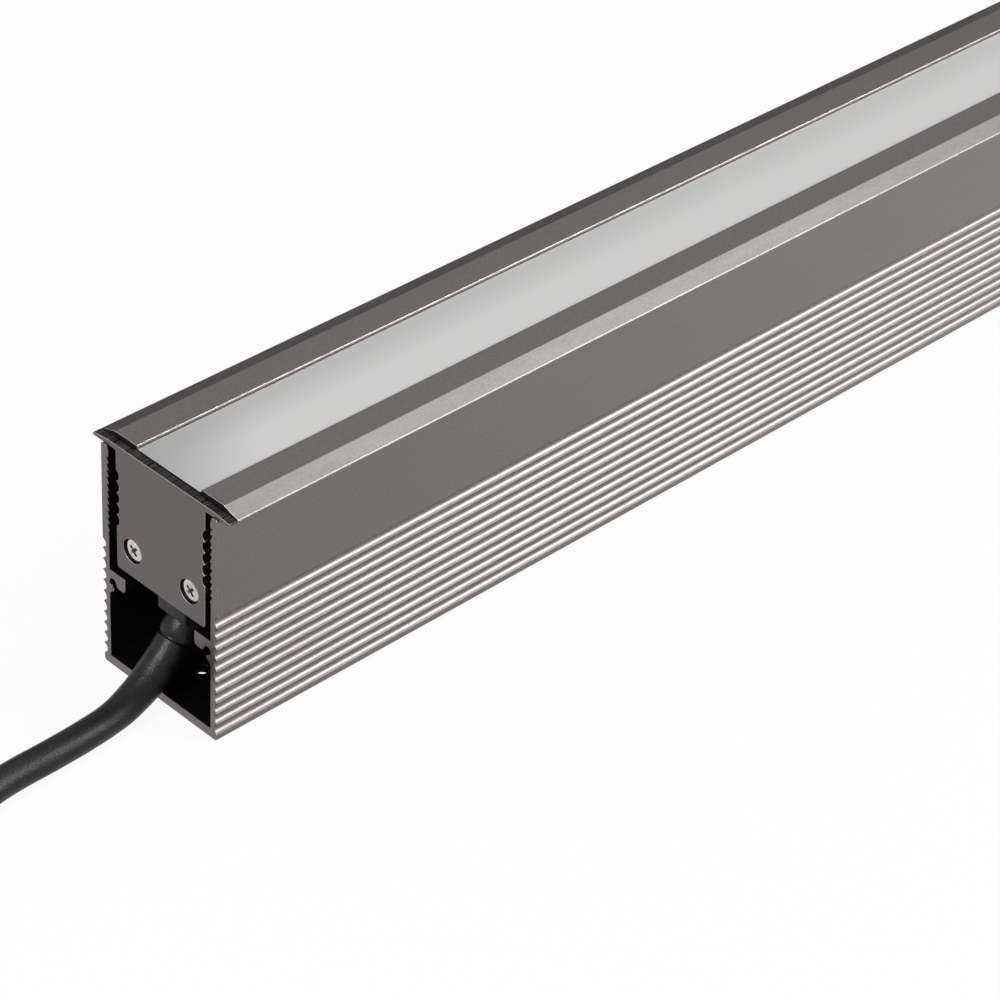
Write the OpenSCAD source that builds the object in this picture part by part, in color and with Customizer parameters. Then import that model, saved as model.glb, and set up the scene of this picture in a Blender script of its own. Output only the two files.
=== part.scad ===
// Outdoor wall washer: a linear luminaire that drops into a ribbed installation channel.
// X runs along the light, Y across it and Z up, in millimetres. The origin is the middle of
// the channel's underside, and the cable leaves at the end that points along -X.

/* [Channel] */
// Length of the installation channel
channel_length = 500; // [400:10:1000]
// Width over the outer sides of the channel
channel_width = 41; // [40:0.5:48]
// Height of the channel's walls above its underside
channel_height = 63.8; // [63:0.2:72]
// Thickness of the channel's walls
wall_thickness = 2.3; // [2:0.1:2.6]
// Thickness of the channel's floor
floor_thickness = 2.5; // [2:0.1:4]
// Radius along the outer bottom corners
corner_radius = 0.8; // [0.4:0.1:1.2]
// Radius on the edges of the wall tops
top_radius = 0.7; // [0.3:0.1:0.9]

/* [Outer grooves] */
// Number of grooves down each outer side
groove_count = 11; // [3:1:12]
// Spacing from one groove to the next
groove_pitch = 3.14; // [2.6:0.02:3.6]
// Depth of a groove
groove_depth = 1.05; // [0.6:0.05:1.2]
// Width of the flat left on each ridge
ridge_width = 0.24; // [0.1:0.02:0.5]
// Height of the plain strip below the lowest groove
groove_foot = 2; // [1.4:0.1:4]

/* [Inner teeth] */
// Number of notches down each inner side
tooth_count = 11; // [4:1:12]
// Spacing from one notch to the next
tooth_pitch = 1.93; // [1.5:0.01:2.2]
// Depth of a notch from the tip of a tooth
tooth_depth = 0.7; // [0.4:0.05:0.9]
// How far the toothed strip stands off the plain wall
tooth_proud = 0.2; // [0.1:0.05:0.3]
// Distance from the top of the wall to the first notch
tooth_drop = 3.1; // [2.4:0.1:5]

/* [Ledges and screw ports] */
// Gap between the luminaire's underside and the top of the ledges
under_gap = 2.2; // [1.6:0.1:4]
// How far a ledge reaches in from the wall
ledge_reach = 5.75; // [5:0.05:8]
// Thickness of a ledge at its inner end
ledge_thickness = 4.1; // [3.8:0.1:5]
// Diameter of the open screw port under a ledge
port_diameter = 2.4; // [2:0.1:2.6]
// Distance from the wall to the centre of a screw port
port_inset = 1.25; // [1.2:0.05:1.4]
// How far the hook under a port stands off the wall
hook_reach = 1.6; // [1.4:0.1:2]

/* [Floor holes] */
// Number of fixing holes along the floor
hole_count = 4; // [2:1:7]
// Diameter of a fixing hole
hole_diameter = 3.7; // [3:0.1:6]
// Distance from each end to the nearest hole
hole_end = 13; // [10:0.5:40]

/* [Luminaire body] */
// Gap on each side between the luminaire and the channel's plain inner wall
side_gap = 2.55; // [2.4:0.05:4]
// Depth of the body below the seat of its flanges
body_depth = 33.3; // [32:0.1:36]
// Distance from each end of the channel to the face of an end cap
end_setback = 0.4; // [0:0.1:2]
// Thickness of the housing's side walls
housing_wall = 2.65; // [2.2:0.05:3]
// Thickness of the housing's floor
housing_floor = 2; // [1.6:0.1:3]
// Thickness of the web that carries the LED boards
web_thickness = 2.5; // [2:0.1:4]
// Height of the lower chamber
chamber_height = 15.5; // [14:0.1:16.5]
// Radius along the bottom edges of the housing and its end caps
body_radius = 0.8; // [0.3:0.1:1.5]

/* [Flanges and diffuser] */
// How far each flange reaches past the channel's side
flange_overhang = 3.4; // [2:0.1:6]
// Thickness of the flanges from their seat to their top
flange_thickness = 2.2; // [1.8:0.1:3]
// Thickness left at the edge of a flange
flange_edge = 0.8; // [0.5:0.05:1.2]
// Width of the bevel along each flange
bevel_width = 4.8; // [3:0.1:7]
// Width of the opening that holds the diffuser
opening_width = 22.8; // [18:0.1:23.6]
// How far the diffuser lies below the top of the flanges
diffuser_drop = 0.8; // [0.3:0.1:1.5]
// Thickness of the diffuser
diffuser_thickness = 3; // [2:0.1:4]
// Width of the sealed seam on each side of the diffuser
seam_width = 0.35; // [0.2:0.05:0.8]
// Width of the shelf under each edge of the diffuser
shelf_width = 1.5; // [1:0.1:3]
// Thickness of that shelf
shelf_thickness = 1.8; // [1.2:0.1:2.5]

/* [Side flutes] */
// Number of flutes down each side of the body
flute_count = 5; // [2:1:6]
// Spacing from one flute to the next
flute_pitch = 3.2; // [2.6:0.05:3.6]
// Depth of a flute
flute_depth = 1; // [0.5:0.05:1.2]
// Distance from the flange seat to the first flute
flute_drop = 5.5; // [4:0.1:8]

/* [End caps] */
// Thickness of an end cap
cap_thickness = 2.2; // [2.2:0.1:4]
// How far the middle of an end cap lies below the top of the flanges
cap_drop = 0.8; // [0.2:0.1:1.2]
// Thickness of an end gasket
gasket_thickness = 0.5; // [0.4:0.1:1.5]
// How far a gasket stays inside the outline of its cap
gasket_inset = 0.25; // [0.1:0.05:0.4]
// Distance between the two screws of a cap
screw_spread = 20.2; // [18:0.1:20.4]
// Height of the cap screws above the underside of the cap
screw_rise = 7.4; // [6.4:0.1:8]
// Thread diameter of the cap screws
screw_diameter = 3; // [2.5:0.5:3]
// Head diameter of the cap screws
screw_head = 5.7; // [5:0.1:6]
// Length of the cap screws under the top of the head
screw_length = 14; // [8:1:25]
// How far the head of a cap screw sits below the face
screw_recess = 0.5; // [0.2:0.1:0.6]

/* [Cable outlet] */
// Diameter of the cable
cable_diameter = 7.6; // [6:0.1:8]
// Distance from the end of the channel to the face of the gland
gland_setback = 3.5; // [3.5:0.1:6]
// Width of the gland
gland_width = 10; // [9:0.1:12]
// Length of the gland along the light
gland_length = 13; // [12.5:0.1:18]
// Height of the gland's upright face, as a share of the room between it and the floor
gland_face_share = 0.235; // [0.2:0.005:0.24]
// Thickness of the seal between the gland and the housing
gland_seal_thickness = 0.8; // [0.4:0.1:1.2]
// Diameter of the threaded nipple
nipple_diameter = 8; // [7:0.5:8]

/* [Retaining springs] */
// Number of springs along the luminaire
spring_count = 3; // [2:1:6]
// Width of a spring along the light
spring_width = 14; // [8:1:25]
// Thickness of the spring strip
spring_thickness = 0.6; // [0.4:0.05:0.7]

/* [Light source] */
// Number of LEDs on each of the two boards
led_count = 12; // [6:1:20]
// Width of an LED board
board_width = 16; // [14:0.5:17]
// Thickness of an LED board
board_thickness = 1.6; // [1:0.1:2]

/* [Driver] */
// Length of the driver's circuit board
driver_length = 240; // [180:5:260]
// Width of the driver's circuit board
driver_width = 14; // [12:0.1:14.2]

/* [Hidden] */
$fn = 48;

// Shared fits and overruns
overrun = 1;
fit = 0.1;
loose_fit = 0.4;
touch_gap = 0.2;
thread_fit = 0.05;

// Colours
anodised = [0.45, 0.43, 0.43];
black_rubber = [0.06, 0.06, 0.06];
bright_steel = [0.8, 0.79, 0.77];
opal = [0.8, 0.8, 0.79];
board_white = [0.92, 0.92, 0.9];
board_green = [0.1, 0.35, 0.2];
brass = [0.75, 0.62, 0.3];

// Derived sizes of the channel
channel_half = channel_width / 2;
inner_half = channel_half - wall_thickness;
groove_chord = groove_pitch - ridge_width;
groove_radius = (groove_chord * groove_chord / 4 + groove_depth * groove_depth) / (2 * groove_depth);
tooth_tip = inner_half - tooth_proud;
// Part of a notch's spacing that its slope takes
notch_share = 0.85;
tooth_strip_drop = 1.2;
body_bottom = channel_height - body_depth;
ledge_top = body_bottom - under_gap;
ledge_radius = 1.1;
port_radius = port_diameter / 2;
port_y = inner_half - port_inset;
// Drop of the port's centre below the ledge's top, as a share of the ledge's thickness
port_share = 0.8;
port_z = ledge_top - port_share * ledge_thickness;
hook_radius = 0.65;
hook_gap = 0.15;
hook_y = inner_half - hook_reach + hook_radius;
hook_z = port_z - port_radius - hook_radius - hook_gap;
hook_rise = 1.4;
hook_fall = 1.7;

// Derived sizes of the luminaire
body_half = inner_half - side_gap;
flange_half = channel_half + flange_overhang;
flat_half = flange_half - bevel_width;
seat_z = channel_height;
top_z = seat_z + flange_thickness;
seat_fillet = 0.5;
flute_radius = (flute_pitch * flute_pitch / 4 + flute_depth * flute_depth) / (2 * flute_depth);
luminaire_length = channel_length - 2 * end_setback;
housing_length = luminaire_length - 2 * (cap_thickness + gasket_thickness);
chamber_half = body_half - housing_wall;
chamber_floor = body_bottom + housing_floor;
web_z = chamber_floor + chamber_height;
web_top = web_z + web_thickness;
opening_half = opening_width / 2;
diffuser_top = top_z - diffuser_drop;
diffuser_bottom = diffuser_top - diffuser_thickness;
shelf_half = opening_half - shelf_width;
shelf_bottom = diffuser_bottom - shelf_thickness;

module both_sides() {
    children();
    mirror([1, 0, 0]) children();
}

module along(length) {
    rotate([90, 0, 90]) linear_extrude(height = length, center = true) children();
}

// Points of an arc about a centre, from one angle to another
arc_steps = 6;
function arc(centre, radius, first, last) = [for (i = [0 : arc_steps])
    let (a = first + (last - first) * i / arc_steps) centre + radius * [cos(a), sin(a)]];
// Whole outline from its half at +X, listed anticlockwise
function mirrored(points) = concat(points,
    [for (i = [len(points) - 1 : -1 : 0]) [-points[i][0], points[i][1]]]);

// Installation channel
module trough_section() {
    top_centre = channel_height - top_radius;
    polygon(mirrored(concat(
        arc([channel_half - corner_radius, corner_radius], corner_radius, -90, 0),
        arc([channel_half - top_radius, top_centre], top_radius, 0, 90),
        arc([inner_half + top_radius, top_centre], top_radius, 90, 180),
        [[inner_half, floor_thickness]])));
}

module ledge_section() {
    inner_edge = inner_half - ledge_reach;
    bump_width = port_y - port_radius - inner_edge;
    ledge_bottom = ledge_top - ledge_thickness;
    translate([inner_edge, ledge_bottom + ledge_radius])
        square([bump_width, ledge_thickness - ledge_radius]);
    translate([inner_edge + ledge_radius, ledge_bottom + ledge_radius]) circle(r = ledge_radius);
    translate([inner_edge + bump_width - ledge_radius, ledge_bottom + ledge_radius])
        circle(r = ledge_radius);
    translate([inner_edge + ledge_radius, ledge_bottom])
        square([bump_width - 2 * ledge_radius, ledge_radius]);
    translate([inner_edge + bump_width, port_z])
        square([inner_half - inner_edge - bump_width, ledge_top - port_z]);
}

module hook_section() {
    translate([hook_y, hook_z]) circle(r = hook_radius);
    polygon([[inner_half, hook_z + hook_rise], [hook_y, hook_z + hook_radius],
        [hook_y, hook_z - hook_radius], [inner_half, hook_z - hook_fall]]);
}

module tooth_strip_section() {
    strip_top = channel_height - tooth_strip_drop;
    strip_bottom = channel_height - tooth_drop - tooth_count * tooth_pitch;
    translate([tooth_tip, strip_bottom]) square([tooth_proud, strip_top - strip_bottom]);
}

module notch_section() {
    slope = notch_share * tooth_pitch;
    for (i = [0 : tooth_count - 1])
        translate([tooth_tip, channel_height - tooth_drop - i * tooth_pitch])
            polygon([[-overrun, 0], [tooth_depth, 0], [0, -slope], [-overrun, -slope]]);
}

module groove_section() {
    for (i = [0 : groove_count - 1])
        translate([channel_half - groove_depth + groove_radius, groove_foot + (i + 1 / 2) * groove_pitch])
            circle(r = groove_radius);
}

module channel_section() {
    difference() {
        union() {
            trough_section();
            both_sides() {
                ledge_section();
                hook_section();
                tooth_strip_section();
            }
        }
        both_sides() {
            groove_section();
            notch_section();
            translate([port_y, port_z]) circle(r = port_radius);
        }
    }
}

module channel() {
    hole_pitch = (channel_length - 2 * hole_end) / (hole_count - 1);
    color(anodised) difference() {
        along(channel_length) channel_section();
        for (i = [0 : hole_count - 1])
            translate([hole_end - channel_length / 2 + i * hole_pitch, 0, -overrun])
                cylinder(h = floor_thickness + 2 * overrun, d = hole_diameter);
    }
}

// Outline shared by the housing, its end caps and, drawn in a little, its gaskets
module luminaire_outline(inset = 0, drop = 0) {
    low = body_bottom + inset;
    half = body_half - inset;
    seat = seat_z + inset;
    tip = flange_half - inset;
    edge_radius = (flange_edge - inset) / 2;
    flute_z = seat_z - flute_drop - flute_pitch / 2;
    difference() {
        polygon(mirrored(concat(
            arc([half - body_radius, low + body_radius], body_radius, -90, 0),
            arc([half + seat_fillet, seat - seat_fillet], seat_fillet, 180, 90),
            arc([tip - edge_radius, seat + edge_radius], edge_radius, -90, 90),
            [[flat_half, top_z - inset - drop]])));
        both_sides() for (i = [0 : flute_count - 1])
            translate([body_half - flute_depth + flute_radius, flute_z - i * flute_pitch])
                circle(r = flute_radius + inset);
    }
}

// Housing
screw_y = screw_spread / 2;
screw_z = body_bottom + screw_rise;
screw_port_radius = screw_diameter / 2 + thread_fit;
boss_radius = 2.8;
// Height of the rib that joins a screw boss to the wall
boss_rib = 4;
end_x = luminaire_length / 2;
housing_end = housing_length / 2;
gland_end = gland_setback - channel_length / 2;
gland_top = body_bottom - gland_seal_thickness;
cable_room = gland_top - floor_thickness;
face_low = gland_top - gland_face_share * cable_room;
nipple_x = gland_end + gland_length / 2;
nipple_hole = nipple_diameter + 2 * fit;
// Margin between the housing's ends and the LED boards, clear of the leads' hole
board_margin = 16.5;
board_gap = 1;
board_length = housing_end - board_margin - board_gap / 2;
board_pitch = board_length / led_count;
pad_thickness = 0.3;
board_top = web_top + pad_thickness + board_thickness;
board_screw_diameter = 3;
grommet_diameter = 6;
grommet_x = housing_end - board_margin / 2;
earth_offset = 16;
earth_x = nipple_x + earth_offset;
earth_screw_diameter = 3;
// Board screws stand between LEDs, counted in LED spacings from a board's inner end
screw_steps = [1, floor(led_count / 2), led_count - 1];

module at_board_screws() {
    for (side = [-1, 1], step = screw_steps)
        translate([side * (board_gap / 2 + step * board_pitch), 0, 0]) children();
}

module housing_section() {
    difference() {
        union() {
            difference() {
                luminaire_outline();
                translate([-chamber_half, chamber_floor]) square([2 * chamber_half, chamber_height]);
            }
            both_sides() translate([screw_y, screw_z]) {
                circle(r = boss_radius);
                translate([0, -boss_rib / 2])
                    square([chamber_half + housing_wall / 4 - screw_y, boss_rib]);
            }
        }
        both_sides() translate([screw_y, screw_z]) circle(r = screw_port_radius);
        translate([-chamber_half, web_top]) square([2 * chamber_half, shelf_bottom - web_top]);
        translate([-shelf_half, web_top]) square([2 * shelf_half, top_z - web_top]);
        translate([-opening_half, diffuser_bottom])
            square([2 * opening_half, top_z - diffuser_bottom + overrun]);
    }
}

module housing() {
    color(anodised) difference() {
        along(housing_length) housing_section();
        translate([nipple_x, 0, body_bottom - overrun])
            cylinder(h = housing_floor + 2 * overrun, d = nipple_hole);
        translate([earth_x, 0, body_bottom - overrun])
            cylinder(h = housing_floor + 2 * overrun, d = earth_screw_diameter + 2 * thread_fit);
        translate([grommet_x, 0, web_z - overrun])
            cylinder(h = web_thickness + 2 * overrun, d = grommet_diameter);
        at_board_screws() translate([0, 0, web_z - overrun])
            cylinder(h = web_thickness + 2 * overrun, d = board_screw_diameter + 2 * thread_fit);
    }
}

// Diffuser and its sealed seams
module diffuser() {
    half = opening_half - seam_width;
    color(opal) along(housing_length) translate([-half, diffuser_bottom])
        square([2 * half, diffuser_thickness]);
}

module diffuser_seals() {
    // Part of the diffuser's thickness that the seams are filled to
    fill_share = 0.8;
    color(black_rubber) both_along(housing_length)
        translate([opening_half - seam_width, diffuser_bottom])
            square([seam_width, fill_share * diffuser_thickness]);
}

module both_along(length) {
    along(length) children();
    mirror([0, 1, 0]) along(length) children();
}

// Light source
reflector_thickness = 0.8;
reflector_length = 2 * board_length + board_gap;

module reflectors() {
    foot = board_width / 2 - reflector_thickness;
    head = chamber_half - fit - reflector_thickness;
    color(board_white) both_along(reflector_length)
        polygon([[foot, board_top], [foot + reflector_thickness, board_top],
            [head + reflector_thickness, shelf_bottom - fit], [head, shelf_bottom - fit]]);
}

module board_plates(bottom, thickness) {
    for (side = [-1, 1])
        translate([side * (board_gap + board_length) / 2, 0, bottom + thickness / 2])
            cube([board_length, board_width, thickness], center = true);
}

module led_boards() {
    color(board_white) difference() {
        board_plates(web_top + pad_thickness, board_thickness);
        at_board_screws() translate([0, 0, web_top])
            cylinder(h = pad_thickness + board_thickness + overrun, d = board_screw_diameter + loose_fit);
    }
}

module thermal_pads() {
    color("gray") difference() {
        board_plates(web_top, pad_thickness);
        at_board_screws() translate([0, 0, web_top - overrun])
            cylinder(h = pad_thickness + 2 * overrun, d = board_screw_diameter + loose_fit);
    }
}

module led_chips() {
    chip_size = 3;
    chip_height = 0.6;
    dome_diameter = 2.4;
    dome_height = 0.3;
    for (side = [-1, 1], i = [0 : led_count - 1])
        translate([side * (board_gap / 2 + (i + 1 / 2) * board_pitch), 0, board_top]) {
            color(board_white) translate([-chip_size / 2, -chip_size / 2, 0])
                cube([chip_size, chip_size, chip_height]);
            color("gold") cylinder(h = chip_height + dome_height, d = dome_diameter);
        }
}

module pan_screw(diameter, length) {
    // Width and height of the head as shares of the thread's diameter
    head_share = 1.83;
    rise_share = 0.6;
    translate([0, 0, -length]) cylinder(h = length + overrun / 2, d = diameter);
    cylinder(h = rise_share * diameter, d = head_share * diameter);
}

module board_screws() {
    color(bright_steel) at_board_screws() translate([0, 0, board_top])
        pan_screw(board_screw_diameter, pad_thickness + board_thickness + web_thickness);
}

connector_size = [6, 8, 4];
connector_x = board_gap / 2 + board_length - connector_size[0] / 2;

module board_connector() {
    color(board_white) translate([connector_x, 0, board_top + connector_size[2] / 2])
        cube(connector_size, center = true);
}

// Quarter of a ring from the origin, setting off along +Z and ending along +X
module quarter_bend(radius, diameter) {
    translate([radius, 0, 0]) mirror([1, 0, 0]) rotate([90, 0, 0])
        rotate_extrude(angle = 90) translate([radius, 0]) circle(d = diameter, $fn = 24);
}

module lead_grommet() {
    lip = 0.8;
    color(black_rubber) translate([grommet_x, 0, web_z]) difference() {
        union() {
            cylinder(h = web_thickness + lip, d = grommet_diameter - fit);
            translate([0, 0, web_thickness]) cylinder(h = lip, d = grommet_diameter + 2 * lip);
        }
        translate([0, 0, -overrun])
            cylinder(h = web_thickness + lip + 2 * overrun, d = grommet_diameter - 2 * lip);
    }
}

// Driver
insulator_thickness = 0.5;
driver_board_thickness = 1.6;
driver_offset = 6;
driver_start = earth_x + driver_offset;
driver_end = driver_start + driver_length;
driver_top = chamber_floor + insulator_thickness + driver_board_thickness;
terminal_size = [10, 12, 10];
lead_bend = 4;
lead_diameter = 1.5;
lead_spacing = 2;
lead_rise = 3;
lead_z = driver_top + lead_rise;
core_diameter = 2.4;
core_spread = 1.4;
core_bend = 2.5;

module driver_insulator() {
    color("ivory") translate([driver_start, -driver_width / 2, chamber_floor])
        cube([driver_length, driver_width, insulator_thickness]);
}

module driver_board() {
    color(board_green) translate([driver_start, -driver_width / 2, chamber_floor + insulator_thickness])
        cube([driver_length, driver_width, driver_board_thickness]);
}

// Places along the driver's board, as shares of its length
module on_driver(share) {
    translate([driver_start + share * driver_length, 0, driver_top]) children();
}

module driver_transformer() {
    ferrite_length = 18;
    ferrite_width = 12;
    ferrite_height = 3;
    winding_height = 6;
    winding_diameter = 11;
    transformer_share = 0.45;
    on_driver(transformer_share) {
        color("dimgray") for (z = [0, ferrite_height + winding_height])
            translate([-ferrite_length / 2, -ferrite_width / 2, z])
                cube([ferrite_length, ferrite_width, ferrite_height]);
        color("goldenrod") translate([0, 0, ferrite_height])
            cylinder(h = winding_height, d = winding_diameter);
    }
}

module driver_capacitors() {
    can_diameter = 8;
    can_height = 11;
    can_shares = [0.22, 0.28, 0.72];
    film_share = 0.15;
    film_length = 6;
    film_width = 11;
    film_height = 9;
    color("midnightblue") for (share = can_shares)
        on_driver(share) cylinder(h = can_height, d = can_diameter);
    color("gold") on_driver(film_share)
        translate([-film_length / 2, -film_width / 2, 0]) cube([film_length, film_width, film_height]);
}

module driver_inductor() {
    ring_diameter = 11;
    wire_diameter = 3.6;
    inductor_share = 0.6;
    color("peru") on_driver(inductor_share) translate([0, 0, wire_diameter / 2])
        rotate_extrude() translate([(ring_diameter - wire_diameter) / 2, 0]) circle(d = wire_diameter);
}

module driver_chips() {
    chip_shares = [0.35, 0.53, 0.66, 0.8];
    chip_size = [5, 4, 1.6];
    color("dimgray") for (share = chip_shares)
        on_driver(share) translate([-chip_size[0] / 2, -chip_size[1] / 2, 0]) cube(chip_size);
}

module driver_terminals() {
    color("darkgreen") for (x = [driver_start, driver_end - terminal_size[0]])
        translate([x, -terminal_size[1] / 2, driver_top]) cube(terminal_size);
}

// Two leads from the driver along the lower chamber, up through the web and onto the board
module led_leads() {
    up_x = grommet_x - lead_bend;
    end_z = board_top + connector_size[2] / 2;
    rise = end_z - lead_z - 2 * lead_bend;
    color("firebrick") for (y = [-lead_spacing / 2, lead_spacing / 2]) translate([0, y, lead_z]) {
        translate([driver_end, 0, 0]) rotate([0, 90, 0]) cylinder(h = up_x - driver_end, d = lead_diameter);
        translate([up_x, 0, 0]) mirror([1, 0, -1]) quarter_bend(lead_bend, lead_diameter);
        translate([grommet_x, 0, lead_bend]) cylinder(h = rise, d = lead_diameter);
        translate([grommet_x, 0, lead_bend + rise]) mirror([1, 0, 0])
            quarter_bend(lead_bend, lead_diameter);
        translate([housing_end - board_margin, 0, 2 * lead_bend + rise]) rotate([0, 90, 0])
            cylinder(h = grommet_x - lead_bend - housing_end + board_margin, d = lead_diameter);
    }
}

// Cores from the nipple to the input terminal and the earth lug
nipple_embed = 2.4;
nipple_rise = 4.5;
core_start = gland_top - nipple_embed;
nipple_top = chamber_floor + nipple_rise;
lug_thickness = 0.8;
lug_tail = 6;
lug_barrel = 2;
earth_level = nipple_top + fit + core_bend;
live_level = earth_level + core_diameter + loose_fit;

module supply_leads() {
    side = core_spread * cos(30);
    back = core_spread / 2;
    color("saddlebrown") for (y = [-side, side]) translate([nipple_x - back, y, core_start]) {
        rise = live_level - core_bend - core_start;
        cylinder(h = rise, d = core_diameter);
        translate([0, 0, rise]) quarter_bend(core_bend, core_diameter);
        translate([core_bend, 0, rise + core_bend]) rotate([0, 90, 0])
            cylinder(h = driver_start - nipple_x + back - core_bend, d = core_diameter);
    }
    color("yellowgreen") translate([nipple_x + core_spread, 0, core_start]) {
        rise = earth_level - core_bend - core_start;
        level = earth_x - lug_tail - nipple_x - core_spread - 2 * core_bend;
        drop = earth_level - core_bend - chamber_floor - lug_thickness - lug_barrel;
        cylinder(h = rise, d = core_diameter);
        translate([0, 0, rise]) quarter_bend(core_bend, core_diameter);
        translate([core_bend, 0, rise + core_bend]) rotate([0, 90, 0])
            cylinder(h = level, d = core_diameter);
        translate([core_bend + level, 0, rise + core_bend])
            mirror([0, 0, 1]) mirror([1, 0, -1]) quarter_bend(core_bend, core_diameter);
        translate([2 * core_bend + level, 0, rise - drop]) cylinder(h = drop, d = core_diameter);
    }
}

module earth_lug() {
    ring = 7;
    tail_width = 3.6;
    color(bright_steel) translate([earth_x, 0, chamber_floor]) difference() {
        union() {
            cylinder(h = lug_thickness, d = ring);
            translate([-lug_tail, -tail_width / 2, 0]) cube([lug_tail, tail_width, lug_thickness]);
            translate([-lug_tail, 0, 0]) cylinder(h = lug_thickness + lug_barrel, d = tail_width);
        }
        translate([0, 0, -overrun])
            cylinder(h = lug_thickness + 2 * overrun, d = earth_screw_diameter + 2 * fit);
    }
}

module earth_screw() {
    color(brass) translate([earth_x, 0, chamber_floor + lug_thickness])
        pan_screw(earth_screw_diameter, lug_thickness + housing_floor);
}

// End caps, gaskets and cap screws, drawn for the cable end and mirrored to the far end
head_radius = screw_head / 2;
shank_radius = screw_diameter / 2;
head_rim = 0.3;
head_cone = head_radius - shank_radius;
hole_radius = shank_radius + 2 * fit;
pocket_gap = 0.45;
pocket_radius = head_radius + pocket_gap;

module far_end() {
    mirror([1, 0, 0]) children();
}

module end_cap() {
    color(anodised) difference() {
        translate([cap_thickness / 2 - end_x, 0, 0]) along(cap_thickness) luminaire_outline(0, cap_drop);
        for (y = [-screw_y, screw_y]) translate([-end_x, y, screw_z]) rotate([0, 90, 0]) {
            translate([0, 0, -overrun]) cylinder(h = screw_recess + overrun, r = pocket_radius);
            translate([0, 0, screw_recess]) cylinder(h = head_rim, r = head_radius + fit);
            translate([0, 0, screw_recess + head_rim])
                cylinder(h = head_cone, r1 = head_radius + fit, r2 = shank_radius + fit);
            cylinder(h = cap_thickness + overrun, r = hole_radius);
        }
    }
}

module end_gasket() {
    color(black_rubber) difference() {
        translate([cap_thickness + gasket_thickness / 2 - end_x, 0, 0])
            along(gasket_thickness) difference() {
                luminaire_outline(gasket_inset);
                translate([-opening_half, top_z - cap_drop])
                    square([2 * opening_half, cap_drop + overrun]);
            }
        for (y = [-screw_y, screw_y]) translate([-end_x, y, screw_z]) rotate([0, 90, 0])
            cylinder(h = cap_thickness + gasket_thickness + overrun, r = hole_radius);
    }
}

module end_screws() {
    cross_depth = 1.1;
    cross_width = 0.8;
    cross_length = 3.2;
    color(bright_steel) for (y = [-screw_y, screw_y])
        translate([screw_recess - end_x, y, screw_z]) rotate([0, 90, 0]) difference() {
            union() {
                cylinder(h = head_rim, r = head_radius);
                translate([0, 0, head_rim]) cylinder(h = head_cone, r1 = head_radius, r2 = shank_radius);
                cylinder(h = screw_length, r = shank_radius);
            }
            for (turn = [45, 135]) rotate([0, 0, turn])
                translate([-cross_length / 2, -cross_width / 2, -overrun])
                    cube([cross_length, cross_width, cross_depth + overrun]);
        }
}

module end_cap_cable_end() {
    end_cap();
}

module end_cap_far_end() {
    far_end() end_cap();
}

module end_gasket_cable_end() {
    end_gasket();
}

module end_gasket_far_end() {
    far_end() end_gasket();
}

module end_screws_cable_end() {
    end_screws();
}

module end_screws_far_end() {
    far_end() end_screws();
}

// Strip of constant thickness along a line of points, mitred where the line turns
function side_of(a, b) = [a[1] - b[1], b[0] - a[0]] / norm(b - a);
function beside(points, i, reach) = let (last = len(points) - 1,
        before = side_of(points[max(0, i - 1)], points[max(1, i)]),
        after = side_of(points[min(last - 1, i)], points[min(last, i + 1)]),
        both = before + after)
    points[i] + 2 * reach / (both * both) * both;

module ribbon(points, thickness) {
    last = len(points) - 1;
    polygon(concat([for (i = [0 : last]) beside(points, i, -thickness / 2)],
        [for (i = [last : -1 : 0]) beside(points, i, thickness / 2)]));
}

// Springs that clip round the body and reach for the channel's teeth
module retaining_springs() {
    leg_y = body_half + fit + spring_thickness / 2;
    base_z = body_bottom - fit - spring_thickness / 2;
    barb_gap = 0.3;
    barb_y = tooth_tip - barb_gap - spring_thickness / 2;
    // The spring's dimples grip the flute that has this many above it
    grip_flute = 2;
    flute_z = seat_z - flute_drop - (grip_flute + 1 / 2) * flute_pitch;
    dimple = 0.55;
    foot_bend = 0.6;
    barb_rise = 3.4;
    tip_rise = 6;
    half_line = [[leg_y, flute_z + flute_pitch / 2 + tip_rise],
        [barb_y, flute_z + flute_pitch / 2 + barb_rise], [leg_y, flute_z + flute_pitch / 2],
        [leg_y - dimple, flute_z], [leg_y, flute_z - flute_pitch / 2],
        [leg_y, base_z + foot_bend], [leg_y - foot_bend, base_z]];
    color(bright_steel) for (i = [0 : spring_count - 1])
        translate([(i - (spring_count - 1) / 2) * housing_length / spring_count, 0, 0])
            along(spring_width) ribbon(mirrored(half_line), spring_thickness);
}

// Cord's route from the strain relief's groove, seen from above: X counted from the gland's face
route = [[1.1, 0], [0.1, 0], [-1.2, 0], [-2.6, 0], [-4.1, -0.1], [-5.7, -0.15], [-7.4, -0.25],
    [-9.1, -0.4], [-10.9, -0.55], [-12.8, -0.75], [-14.7, -1], [-16.6, -1.2], [-18.6, -1.4],
    [-20.6, -1.6], [-22.6, -1.8], [-26, -2.1], [-30.5, -2.4], [-36, -2.6], [-41.5, -2.7],
    [-47.5, -2.7]];
// Height at each point of the route, as shares of the drop from the gland to the ground
drop_shares = [1, 0.898, 0.774, 0.656, 0.547, 0.447, 0.355, 0.274, 0.2025, 0.142, 0.0917, 0.052,
    0.024, 0.0074];
cable_radius = cable_diameter / 2;
tie_thickness = 0.8;
tie_width = 6;
tie_angles = [130, 310];
// Drop from the low edge of the gland's upright face to the strain relief's groove, as a share
exit_drop_share = 0.272;
ground_drop = face_low - exit_drop_share * cable_room - cable_radius;
// From the route a double bend leads back and aside to the coil, and up onto the tie under it
swing_back = 83;
swing_aside = 36.3;
swing_lead = 4;
swing_steps = 6;
swing_angle = 2 * atan(swing_aside / swing_back);
swing_radius = swing_back / 2 / sin(swing_angle);

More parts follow.
